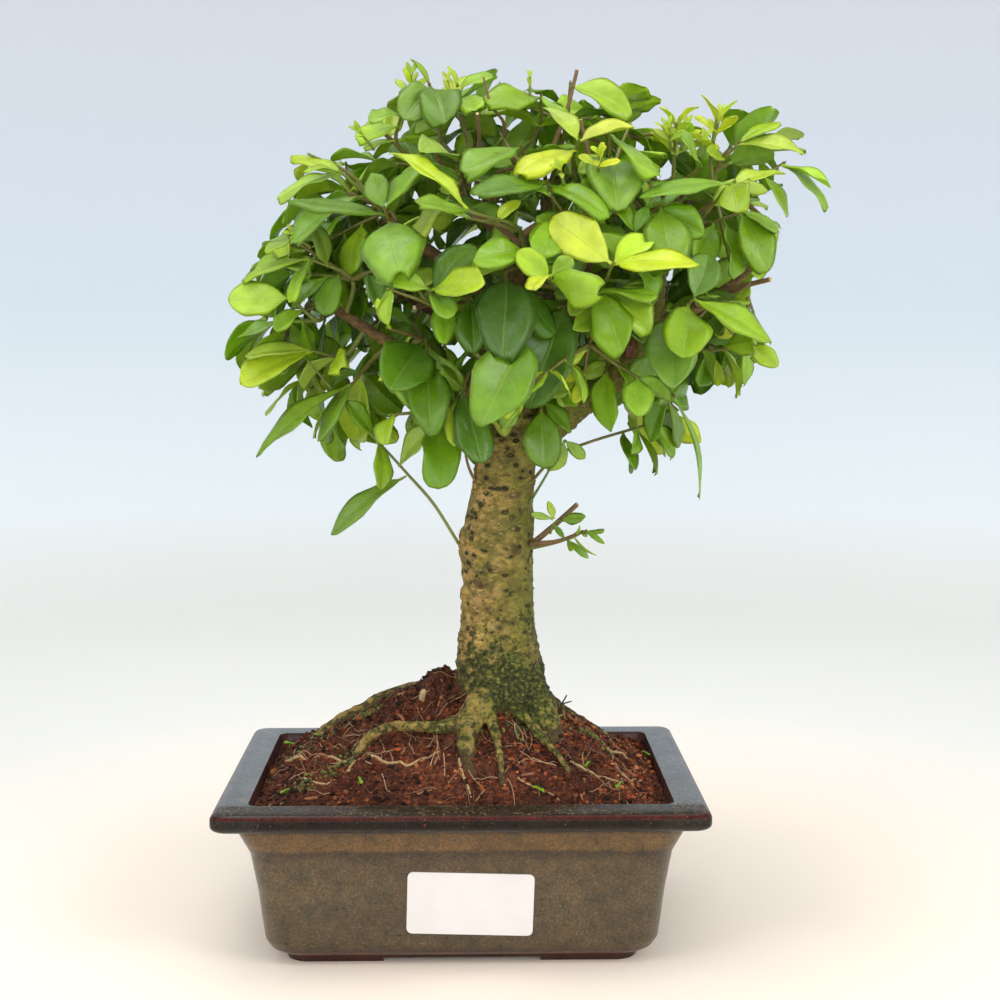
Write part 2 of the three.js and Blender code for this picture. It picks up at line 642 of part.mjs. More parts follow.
// Trunk: a tapering post whose skin ripples a little
function makeTrunk(grow = 0) {
  const rings = TRUNK.map(([x, y, z, radius], level) =>
    Array.from({ length: TRUNK_SIDES }, (_, n) => {
      const angle = (2 * Math.PI * n) / TRUNK_SIDES;
      const ripple = 1 + TRUNK_RIPPLE * Math.sin(3 * angle + 0.9 * level);
      const r = radius * ripple + grow;
      return new THREE.Vector3(x + r * Math.cos(angle), y + r * Math.sin(angle), z);
    }),
  );
  return solid(loft(rings));
}

// Everything woody, to be one solid: trunk, roots, branches and cut stubs
function makeWood(grow = 0) {
  const parts = [makeTrunk(grow)];
  for (const root of Object.values(ROOTS)) parts.push(taperedTube(root, ROOT_SIDES, grow));
  for (const limb of Object.values(LIMBS)) parts.push(taperedTube(limb, LIMB_SIDES, grow));
  for (const [from, to, radius] of STUBS) {
    parts.push(taperedTube([[...from, radius], [...to, radius * 0.8]], STEM_SIDES, grow));
  }
  return parts;
}

// Points on the branches that a shoot can grow from, the best one first, away from where the others grow
const taken = [];
function branchPoints({ foot, tip }) {
  const end = point(foot);
  const aim = point(tip).sub(end).normalize();
  const found = [];
  for (const limb of [...Object.values(LIMBS), TRUNK.slice(5)]) {
    limb.forEach((row, i) => {
      for (const share of [0, 0.25, 0.5, 0.75]) {
        const at = point(row).lerp(point(limb[Math.min(i + 1, limb.length - 1)]), share);
        const reach = end.clone().sub(at);
        const cost = reach.length() * (1.6 - 0.6 * reach.clone().normalize().dot(aim));
        if (taken.every((other) => other.distanceTo(at) > SHOOT_SPACING)) found.push({ at, cost });
      }
    });
  }
  return found.sort((a, b) => a.cost - b.cost).map(({ at }) => at);
}

// Stems of all shoots, each from the first branch point that keeps it whole and clear of the stems before it
function makeStems(shoots) {
  const stems = [];
  for (const shoot of shoots) {
    const made = branchPoints(shoot).find((at) => {
      const rows = [[at.x, at.y, at.z, 1.4], [...shoot.foot, STEM_RADIUS], [...shoot.tip, 0.65]];
      const fat = taperedTube(rows, STEM_SIDES, 2 * GAP);
      if (stems.some((other) => !other.intersect(fat).isEmpty())) return false;
      const stem = grownWood.reduce((rest, wood) => rest.subtract(wood), taperedTube(rows, STEM_SIDES));
      if (stem.decompose().length > 1) return false;
      taken.push(at);
      stems.push(stem);
      return true;
    });
    if (!made) throw new Error("no clear branch point for the shoot at " + shoot.foot);
  }
  return stems;
}

// Place and lie of one leaf that grows by rule. Attempt 0 is its natural place, and each further attempt
// turns the leaf a little more and makes it a little smaller.
function pairedLeaf(shoot, seed, pair, side, attempt) {
  const next = random(seed * 16 + attempt);
  const jitter = (size) => (next() - 0.5) * 2 * size;
  const unrest = 0.35 + 0.12 * attempt;
  const last = !shoot.blades && pair === shoot.pairs - 1;
  const along = point(shoot.tip).sub(point(shoot.foot)).normalize();
  const t = shoot.blades ? 0.15 + 0.35 * pair : 0.3 + (0.67 * pair) / (shoot.pairs - 1);
  const level = along.clone().cross(UP).normalize();
  const rising = level.clone().cross(along);
  const roll = (pair % 2) * 0.95 + jitter(unrest);
  const axis = level.multiplyScalar(side * Math.cos(roll)).addScaledVector(rising, side * Math.sin(roll));
  const spread = (last ? 0.7 : 1.0) + jitter(unrest * 0.6);
  const midrib = along.clone().multiplyScalar(Math.cos(spread)).addScaledVector(axis, Math.sin(spread));
  midrib.addScaledVector(UP, -1.3 * shoot.droop + jitter(unrest * 0.4)).normalize();
  const root = point(shoot.foot).lerp(point(shoot.tip), t);
  const face = root.clone().sub(CROWN).normalize().multiplyScalar(0.8);
  face.addScaledVector(UP, 0.6 - 0.2 * shoot.droop);
  face.add(new THREE.Vector3(jitter(unrest), jitter(unrest), jitter(unrest)));
  const length = shoot.leaf * (last ? 0.84 : 1) * (1 - 0.05 * attempt) * (0.93 + 0.12 * next());
  const halfWidth = length * LEAF_ASPECT * (shoot.slim ?? 1) * (0.46 + 0.08 * next());
  return bentLeaf(root, midrib, face, length, halfWidth, next);
}

// Place and lie of one leaf that is given by its tip and by how wide it looks from the front. Further
// attempts bring the tip forward and aside and make the leaf smaller.
function placedLeaf(shoot, seed, [t, x, y, z, wide], attempt) {
  const next = random(seed * 16 + attempt);
  const jitter = (size) => (next() - 0.5) * 2 * size * attempt;
  const root = point(shoot.foot).lerp(point(shoot.tip), Math.min(t, 0.97));
  const reach = new THREE.Vector3(x + jitter(1), y - 1.5 * attempt, z + jitter(1)).sub(root);
  const length = reach.length() * (1 - 0.04 * attempt);
  const midrib = reach.normalize();
  const sideways = midrib.clone().cross(FRONT).normalize();
  if (sideways.z < 0) sideways.negate();
  const turn = Math.acos(Math.min(1, wide / LEAF_ASPECT)) + jitter(0.12);
  const face = FRONT.clone().multiplyScalar(Math.cos(turn)).addScaledVector(sideways, Math.sin(turn));
  const halfWidth = (length * Math.max(wide, LEAF_ASPECT * 0.9)) / 2;
  return bentLeaf(root, midrib, face, length, halfWidth, next);
}

function bentLeaf(root, midrib, face, length, halfWidth, next) {
  face.addScaledVector(midrib, -face.dot(midrib)).normalize();
  const arch = 0.1 + 0.16 * next();
  const lifted = midrib.clone().addScaledVector(face, arch * 0.9).normalize();
  face.addScaledVector(lifted, -face.dot(lifted)).normalize();
  const across = face.clone().cross(lifted);
  const fold = 0.12 + 0.3 * next();
  const wave = (next() - 0.5) * 0.2;
  return { root, midrib: lifted, face, across, length, halfWidth, arch, fold, wave };
}

// Blade of a leaf: two alike faces a little apart, arched along the midrib, folded and waved across it
function leafSolid(pose, grow = 0, from = 0) {
  const { root, midrib, face, across, length, halfWidth, arch, fold, wave } = pose;
  const outline = length < SMALL_LEAF_LENGTH ? SMALL_LEAF_OUTLINE : LEAF_OUTLINE;
  const place = (u, v, lift) => {
    const x = length * u;
    const y = halfWidth * v;
    const bend = fold * Math.abs(y) - arch * length * u * u + wave * y * Math.sin(7 * u);
    return root
      .clone()
      .addScaledVector(midrib, x)
      .addScaledVector(across, y)
      .addScaledVector(face, bend + lift);
  };
  const wide = 1 + grow / halfWidth;
  const inner = outline.slice(1).map(([u], i) => [(outline[i][0] + u) / 2, 0]);
  const flat = [
    [from, 0],
    ...outline.map(([u, v]) => [u, -v * wide]),
    [1 + grow / length, 0],
    ...outline.map(([u, v]) => [u, v * wide]).reverse(),
    ...inner,
  ];
  const n = 2 * outline.length + 2;
  const tip = outline.length + 1;
  const ribs = inner.map((_, i) => n + i);
  const triangles = [];
  for (const side of [1, -1]) {
    const edge = Array.from({ length: outline.length }, (_, i) => (side > 0 ? i + 1 : n - 1 - i));
    const rib = [0, ...ribs, tip];
    const add = (a, b, c) => triangles.push(side > 0 ? [a, b, c] : [a, c, b]);
    edge.forEach((e, i) => {
      add(rib[i], e, rib[i + 1]);
      if (i + 1 < edge.length) add(e, edge[i + 1], rib[i + 1]);
    });
  }
  const half = LEAF_THICKNESS / 2 + grow;
  const top = flat.map(([u, v], i) => place(u, v, i === 0 ? 0 : half));
  const bottom = flat.map(([u, v], i) => place(u, v, i === 0 ? 0 : -half));
  const corners = [];
  for (const [a, b, c] of triangles) {
    corners.push(top[a], top[b], top[c], bottom[c], bottom[b], bottom[a]);
  }
  for (let i = 0; i < n; i++) {
    const j = (i + 1) % n;
    if (j > 0) corners.push(bottom[i], bottom[j], top[j]);
    if (i > 0) corners.push(bottom[i], top[j], top[i]);
  }
  return solid(new THREE.BufferGeometry().setFromPoints(corners));
}

// Leaves are placed one after another: each takes its first attempt that is clear of everything placed before
const wood = makeWood();
const grownWood = makeWood(GAP);
const names = Object.keys(SHOOTS);
const placed = wood.map((made) => ({ made, owner: "wood", bounds: made.boundingBox() }));
const stems = makeStems(Object.values(SHOOTS));
stems.forEach((made, i) => placed.push({ made, owner: names[i], stem: true, bounds: made.boundingBox() }));

const meets = (a, b) => [0, 1, 2].every((k) => a.min[k] < b.max[k] && b.min[k] < a.max[k]);

function isClear(pose, owner) {
  const whole = leafSolid(pose, LEAF_CLEARANCE);
  const bounds = whole.boundingBox();
  const blade = leafSolid(pose, LEAF_CLEARANCE, 0.2);
  return placed.every((other) => {
    if (!meets(bounds, other.bounds)) return true;
    const probe = other.owner === owner ? blade : whole;
    return other.made.intersect(probe).isEmpty();
  });
}

// Leaves of a shoot, each as a rule that gives its pose for an attempt
function leavesOf(shoot, index) {
  const leaves = (shoot.blades ?? []).map((blade, i) => (attempt) => {
    return placedLeaf(shoot, index * 32 + i, blade, attempt);
  });
  for (let pair = (shoot.pairs ?? 0) - 1; pair >= 0; pair--) {
    for (const side of [-1, 1]) {
      const seed = index * 32 + 16 + 2 * pair + (side > 0 ? 1 : 0);
      leaves.push((attempt) => pairedLeaf(shoot, seed, pair, side, attempt));
    }
  }
  return leaves;
}

function growLeaves(name, leaves, parts) {
  for (const poseOf of leaves) {
    for (let attempt = 0; attempt < LEAF_TRIES; attempt++) {
      const pose = poseOf(attempt);
      if (!isClear(pose, name)) continue;
      const leaf = leafSolid(pose);
      placed.push({ made: leaf, owner: name, bounds: leaf.boundingBox() });
      parts.push(leaf);
      break;
    }
  }
}

// Side stem from the foot of a shoot towards a tip, moved a little where something else is in the way
function makeFork(name, foot, tip) {
  for (const nudge of FORK_NUDGES) {
    const end = tip.map((value, i) => value + nudge[i]);
    const begin = point(foot).lerp(point(end), 0.12).toArray();
    const whole = [[...foot, FORK.radius], [...end, 0.65]];
    const fat = taperedTube([[...begin, FORK.radius], [...end, 0.65]], STEM_SIDES, 2 * GAP);
    const bounds = fat.boundingBox();
    const clear = placed.every((other) => {
      if (!meets(bounds, other.bounds)) return true;
      if (other.owner === name && other.stem) return true;
      return other.made.intersect(fat).isEmpty();
    });
    if (!clear) continue;
    const made = taperedTube(whole, STEM_SIDES);
    placed.push({ made, owner: name, stem: true, bounds: made.boundingBox() });
    return { made, end };
  }
  throw new Error("no clear place for a fork of " + name);
}

function growForks(name, index, parts) {
  (SHOOTS[name].forks ?? []).forEach((tip, number) => {
    const { foot } = SHOOTS[name];
    const { made, end } = makeFork(name, foot, tip);
    parts.push(made);
    growLeaves(name, leavesOf({ ...FORK, foot, tip: end }, 100 + 4 * index + number), parts);
  });
}

// Materials
const GLAZE = new THREE.MeshStandardMaterial({ color: 0x4b4a43, roughness: 0.3, metalness: 0 });
const SOIL = new THREE.MeshStandardMaterial({ color: 0x5a3022, roughness: 0.95, metalness: 0 });
const BARK = new THREE.MeshStandardMaterial({ color: 0x8b7a4e, roughness: 0.85, metalness: 0 });
const PAPER = new THREE.MeshStandardMaterial({ color: 0xf2eeec, roughness: 0.5, metalness: 0 });
const PLASTIC = new THREE.MeshStandardMaterial({ color: 0x1d1f1e, roughness: 0.6, metalness: 0 });
const MATURE_LEAF = new THREE.MeshStandardMaterial({ color: 0x3f7a24, roughness: 0.4, metalness: 0 });
const YOUNG_LEAF = new THREE.MeshStandardMaterial({ color: 0xa5c832, roughness: 0.45, metalness: 0 });

const bonsai = new THREE.Group();

function addPiece(name, made, material) {
  const mesh = new THREE.Mesh(geometryOf(made), material);
  mesh.name = name;
  bonsai.add(mesh);
}

const soilCutters = grownWood.slice(0, 1 + Object.keys(ROOTS).length);
soilCutters.push(makePad(-DRAIN_X, GAP), makePad(DRAIN_X, GAP));

addPiece("pot", makePot(), GLAZE);
addPiece("label", makeLabel(), PAPER);
addPiece("drain_mesh_left", makePad(-DRAIN_X), PLASTIC);
addPiece("drain_mesh_right", makePad(DRAIN_X), PLASTIC);
addPiece("soil", makeSoil(soilCutters), SOIL);
addPiece("trunk_roots_and_branches", join(wood), BARK);
const shootParts = names.map((name, index) => [stems[index]]);
names.forEach((name, index) => growLeaves(name, leavesOf(SHOOTS[name], index), shootParts[index]));
names.forEach((name, index) => growForks(name, index, shootParts[index]));
names.forEach((name, index) => {
  const title = name.replace(/[A-Z]/g, (letter) => "_" + letter.toLowerCase());
  addPiece("shoot_" + title, join(shootParts[index]), SHOOTS[name].young ? YOUNG_LEAF : MATURE_LEAF);
});

// Origin at the bottom centre of the whole
const bounds = new THREE.Box3().setFromObject(bonsai);
bonsai.position.set(-(bounds.min.x + bounds.max.x) / 2, -(bounds.min.y + bounds.max.y) / 2, 0);

export default bonsai;
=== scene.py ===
"""Chinese privet bonsai in a glazed rectangular pot: the fine shapes and the looks of the part.

Lengths in the tables are millimetres in the pot's own frame: x to the right, y to the back, z up from the
surface that the pot stands on, with the origin under the middle of the pot.
"""

import math
from functools import partial

import bpy
import numpy as np
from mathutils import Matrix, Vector


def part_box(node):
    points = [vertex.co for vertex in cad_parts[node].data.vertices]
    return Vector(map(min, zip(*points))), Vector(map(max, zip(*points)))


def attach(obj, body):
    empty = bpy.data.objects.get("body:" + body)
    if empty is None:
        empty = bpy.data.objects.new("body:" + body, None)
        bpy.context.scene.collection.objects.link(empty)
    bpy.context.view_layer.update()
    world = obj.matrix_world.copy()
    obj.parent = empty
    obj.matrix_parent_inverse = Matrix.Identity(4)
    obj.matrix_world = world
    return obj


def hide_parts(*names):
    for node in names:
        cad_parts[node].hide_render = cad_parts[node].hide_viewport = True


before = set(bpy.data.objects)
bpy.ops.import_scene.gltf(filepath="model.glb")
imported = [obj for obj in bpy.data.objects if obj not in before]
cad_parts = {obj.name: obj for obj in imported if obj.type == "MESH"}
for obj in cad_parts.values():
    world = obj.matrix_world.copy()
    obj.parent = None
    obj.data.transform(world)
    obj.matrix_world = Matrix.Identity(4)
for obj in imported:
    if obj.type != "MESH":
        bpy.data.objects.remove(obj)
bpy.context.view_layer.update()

MM = 0.001
pot_low, pot_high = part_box("pot")
POT_CENTRE = np.array([(pot_low.x + pot_high.x) / 2, (pot_low.y + pot_high.y) / 2, 0.0])

# Viewpoint of the photograph, in the pot's frame
CAMERA_PLACE = (3.0, -673.0, 248.5)
CAMERA_YAW = 0.019
CAMERA_TILT = 0.1045
CAMERA_LENS = 59.4
SENSOR = 36.0

# Pot
POT_WIDTH = 190
POT_DEPTH = 140
POT_HEIGHT = 66.5
RIM_WIDTH = 13
FLOOR_UNDERSIDE = 3
FLOOR_TOP = 9
DRAIN_RADIUS = 7
DRAIN_X = 38
DRAIN_SIDES = 40
FOOT_NOTCH_LENGTH = 62
FOOT_NOTCH_HEIGHT = 1.6
CORNER_POINTS = 12
GAP = 0.3

# Outside of the pot from the foot up and inside from the rim down: how far in from the rim's edge,
# height, corner radius
POT_OUTSIDE = [
    (25.5, 0, 9), (25, 3.2, 9), (22.5, 3.6, 11), (19.4, 5.6, 12), (17.4, 9.5, 12), (15.2, 30, 11),
    (12.8, 46, 10), (9.0, 55.5, 8), (7.9, 58.9, 8), (1.4, 59.2, 5), (0, 60.6, 5), (0, 64.6, 5),
    (1.6, 66.2, 4.5), (4, 66.5, 4),
]
POT_INSIDE = [
    (13, 67.5, 4), (13, 65.7, 4), (14.2, 60, 4), (17.5, 50, 5), (21, 36, 6), (22.5, 13, 7), (26, 9, 7),
]

# Paper label on the front of the pot
LABEL_WIDTH = 49
LABEL_HEIGHT = 25.6
LABEL_THICKNESS = 0.4
LABEL_CORNER = 2.2
LABEL_X = 3.3
LABEL_Z = 26.7
LABEL_TURN = -0.03

# Soil: level at the rim, with a mound round the trunk that falls off slowly to the left
SOIL_RIM_Z = 62.5
MOUND_X = 12
MOUND_Y = 4
MOUND_RISE = 42
MOUND_LEFT = 73
MOUND_RIGHT = 45
MOUND_DEEP = 47
SOIL_EDGE = 15
SOIL_HALF_X = POT_WIDTH / 2 - RIM_WIDTH - 1
SOIL_HALF_Y = POT_DEPTH / 2 - RIM_WIDTH - 1
SOIL_SIDE_Z = 55.0
SOIL_CORNER = 4.0
SOIL_COLUMNS = 164
SOIL_ROWS = 114
CRUMBS = 8600
CRUMB_FREE_X = 16
CRUMB_FREE_RADIUS = 16
FIBRES = 300
CHIPS = 60

# Bark
TRUNK_RIPPLE = 0.045
WOOD_VOXEL = 0.8
TRUNK_TOP_Z = 214
LIMB_REACH = 13
SOIL_LINE_Z = 88
LENTICELS = 330
LENTICEL_LOW_Z = 96
LENTICEL_HIGH_Z = 262
LENTICEL_REACH = 4.5
LENTICEL_RISE = 0.42

# Leaves
LEAF_ASPECT = 0.62
LEAF_THICKNESS = 0.65
LEAF_ROOM = 2.6
LEAF_TRIES = 9
SAME_STEM = 0.002
SAME_LEAF = 0.3
STEM_RADIUS = 0.95
STEM_TIP_RADIUS = 0.65
FORK_LEAVES = {"pairs": 4, "leaf": 26, "droop": 0.4}
FORK_RADIUS = 0.8
FORK_NUDGES = [
    (0, 0, 0), (0, 0, 5), (0, 0, -5), (5, 0, 0), (-5, 0, 0), (0, 5, 0), (0, -5, 0), (5, 5, 5),
    (-5, -5, -5), (-6, 6, 0), (6, -6, 0), (8, 0, 6), (-8, 0, 6), (0, 9, 6), (0, -9, 6), (0, 9, -6),
    (0, -9, -6),
]
CROWN = np.array([26.0, 0.0, 245.0])
CROWN_MIDDLE = np.array([24.0, 6.0, 268.0])
CROWN_HALF = np.array([116.0, 88.0, 86.0])
CROWN_FLOOR = 205
CROWN_TOP = 350
CROWN_FRONT = -88
CROWN_BACK = 112
UP = np.array([0.0, 0.0, 1.0])
FRONT = np.array([0.0, -1.0, 0.0])

# Trunk: centre x, y, height z and radius, from the plug in the soil to the fork
TRUNK = [
    [16, 2, 40, 14],
    [16, 1, 70, 19],
    [17, 0, 88, 21],
    [16.4, 0, 97, 19.2],
    [15.4, 0, 112, 17.2],
    [15.2, 0, 128, 15.4],
    [15.2, 0, 142, 14.4],
    [14, 0, 160, 14.9],
    [15.5, 0, 174, 13.8],
    [16.8, 0, 188, 12.7],
    [19, 0, 201, 12],
    [22.5, 1, 212, 9.6],
]

# Branches: each starts inside what it grows from, and every point is x, y, z and radius
LIMBS = {
    "leader": [
        [21, 1, 206, 8.6], [25, 3, 220, 7.6], [28, 6, 238, 6.2], [27, 9, 256, 4.8], [20, 10, 276, 3.6],
        [12, 8, 298, 2.6], [6, 6, 314, 1.9],
    ],
    "right": [
        [24, 0, 199, 8.4], [40, -3, 212, 7.4], [56, -5, 224, 6], [70, -4, 234, 4.9], [78, 0, 250, 4.1],
        [80, 2, 268, 3.2], [82, 4, 288, 2.2],
    ],
    "right_top": [[80, 2, 268, 2.8], [90, -4, 286, 2.4], [101, -8, 297, 2], [110, -10, 302, 1.6]],
    "right_outer": [[76, -1, 246, 3.6], [90, -4, 254, 2.8], [104, -8, 262, 2.2], [116, -10, 272, 1.7]],
    "right_low": [[60, -5, 226, 3.4], [74, -12, 226, 2.4], [88, -18, 230, 1.8]],
    "right_back": [[70, -3, 234, 3.6], [78, 18, 240, 2.6], [84, 40, 248, 2]],
    "middle": [
        [28, 5, 238, 5], [38, 0, 249, 4.2], [46, -6, 260, 3.5], [51, -10, 280, 2.6], [54, -10, 298, 1.9],
    ],
    "front": [[28, 3, 236, 4.6], [23, -16, 254, 3.6], [22, -34, 270, 2.8], [23, -44, 277, 2.2]],
    "front_low": [[22, -6, 214, 4], [16, -22, 224, 2.8], [8, -38, 236, 2]],
    "left": [
        [22, 2, 216, 4.8], [2, -4, 226, 3.7], [-18, -8, 236, 2.9], [-38, -8, 248, 2.3],
        [-54, -8, 258, 1.8],
    ],
    "left_upper": [[27, 8, 246, 4], [8, 6, 262, 3.1], [-12, 4, 278, 2.4], [-30, 4, 292, 1.8]],
    "left_back": [[25, 7, 230, 4], [6, 24, 244, 2.9], [-14, 40, 256, 2.2], [-28, 50, 264, 1.7]],
    "back": [[27, 8, 240, 4.2], [34, 28, 254, 3.1], [40, 48, 264, 2.3], [44, 62, 272, 1.8]],
    "top_left": [[16, 9, 286, 2.9], [0, 7, 303, 2.2], [-10, 3, 316, 1.6]],
    "top_back": [[25, 10, 262, 3.4], [32, 26, 284, 2.5], [36, 36, 302, 1.8]],
}

# Roots that show: x, y, z and radius
ROOTS = {
    "front_knee": [
        [15, -8, 103, 6.5], [9, -19, 98, 6.2], [3, -27, 91, 5.0], [2, -33, 85, 3.6], [3, -40, 78, 2.5],
        [4, -44, 68, 1.8],
    ],
    "front_left": [
        [3, -25, 92, 3.8], [-8, -29, 90, 2.5], [-20, -29, 90.5, 2.2], [-30, -27, 89.5, 1.9],
        [-38, -26, 84, 1.6], [-42, -27, 77, 1.1],
    ],
    "front_right": [
        [16, -15, 99, 2.2], [25, -23, 93, 1.7], [32, -30, 86, 1.6], [40, -37, 78, 1.3],
        [44, -41, 70, 1.0],
    ],
    "front_down": [
        [11, -20, 94, 2.6], [12, -26, 92, 2.0], [14, -34, 86, 1.7], [15, -40, 80.5, 1.5],
        [16, -46, 71, 1.1],
    ],
    "buttress": [[26, -6, 104, 7.6], [31, -13, 93, 8], [34, -18, 84, 6.6], [36, -22, 74, 5]],
    "back_left": [
        [6, 8, 98, 6.0], [-10, 13, 96, 4.6], [-28, 15, 92.5, 3.9], [-44, 15, 85.5, 3.3],
        [-57, 13, 78.5, 2.7], [-66, 9, 71, 2.0],
    ],
    "back_right": [
        [26, 9, 95, 5.2], [40, 14, 88, 2.8], [52, 17, 80, 2.1], [62, 18, 73, 1.6], [69, 18, 67, 1.2],
    ],
    "back": [[13, 14, 99, 6], [8, 26, 97, 4.6], [2, 38, 87.5, 3.4], [-2, 47, 75, 2.2]],
}

# Cut ends of pruned twigs that stick out of the crown: x, y, z from and to, and radius
STUBS = [
    [[52, -10, 297], [47, -16, 329], 0.9],
    [[36, -10, 318], [45.4, -18, 347.9], 0.8],
    [[6, 2, 304], [6.5, -34, 329], 0.8],
    [[25, -2, 157], [47, -7, 176.8], 1.15],
    [[104, -8, 262], [121, -24, 267], 1.1],
    [[8, 6, 262], [-18, -22, 256], 1.2],
]


def leafy(tone, foot, tip, blades=(), pairs=0, leaf=0, droop=0, slim=1, young=False, way=(), forks=()):
    """A leafy stem, as the rules for its leaves read it."""
    return {
        "tone": tone, "foot": np.array(foot, float), "tip": np.array(tip, float), "blades": blades,
        "pairs": pairs, "leaf": leaf, "droop": droop, "slim": slim, "young": young, "way": way,
        "forks": forks,
    }


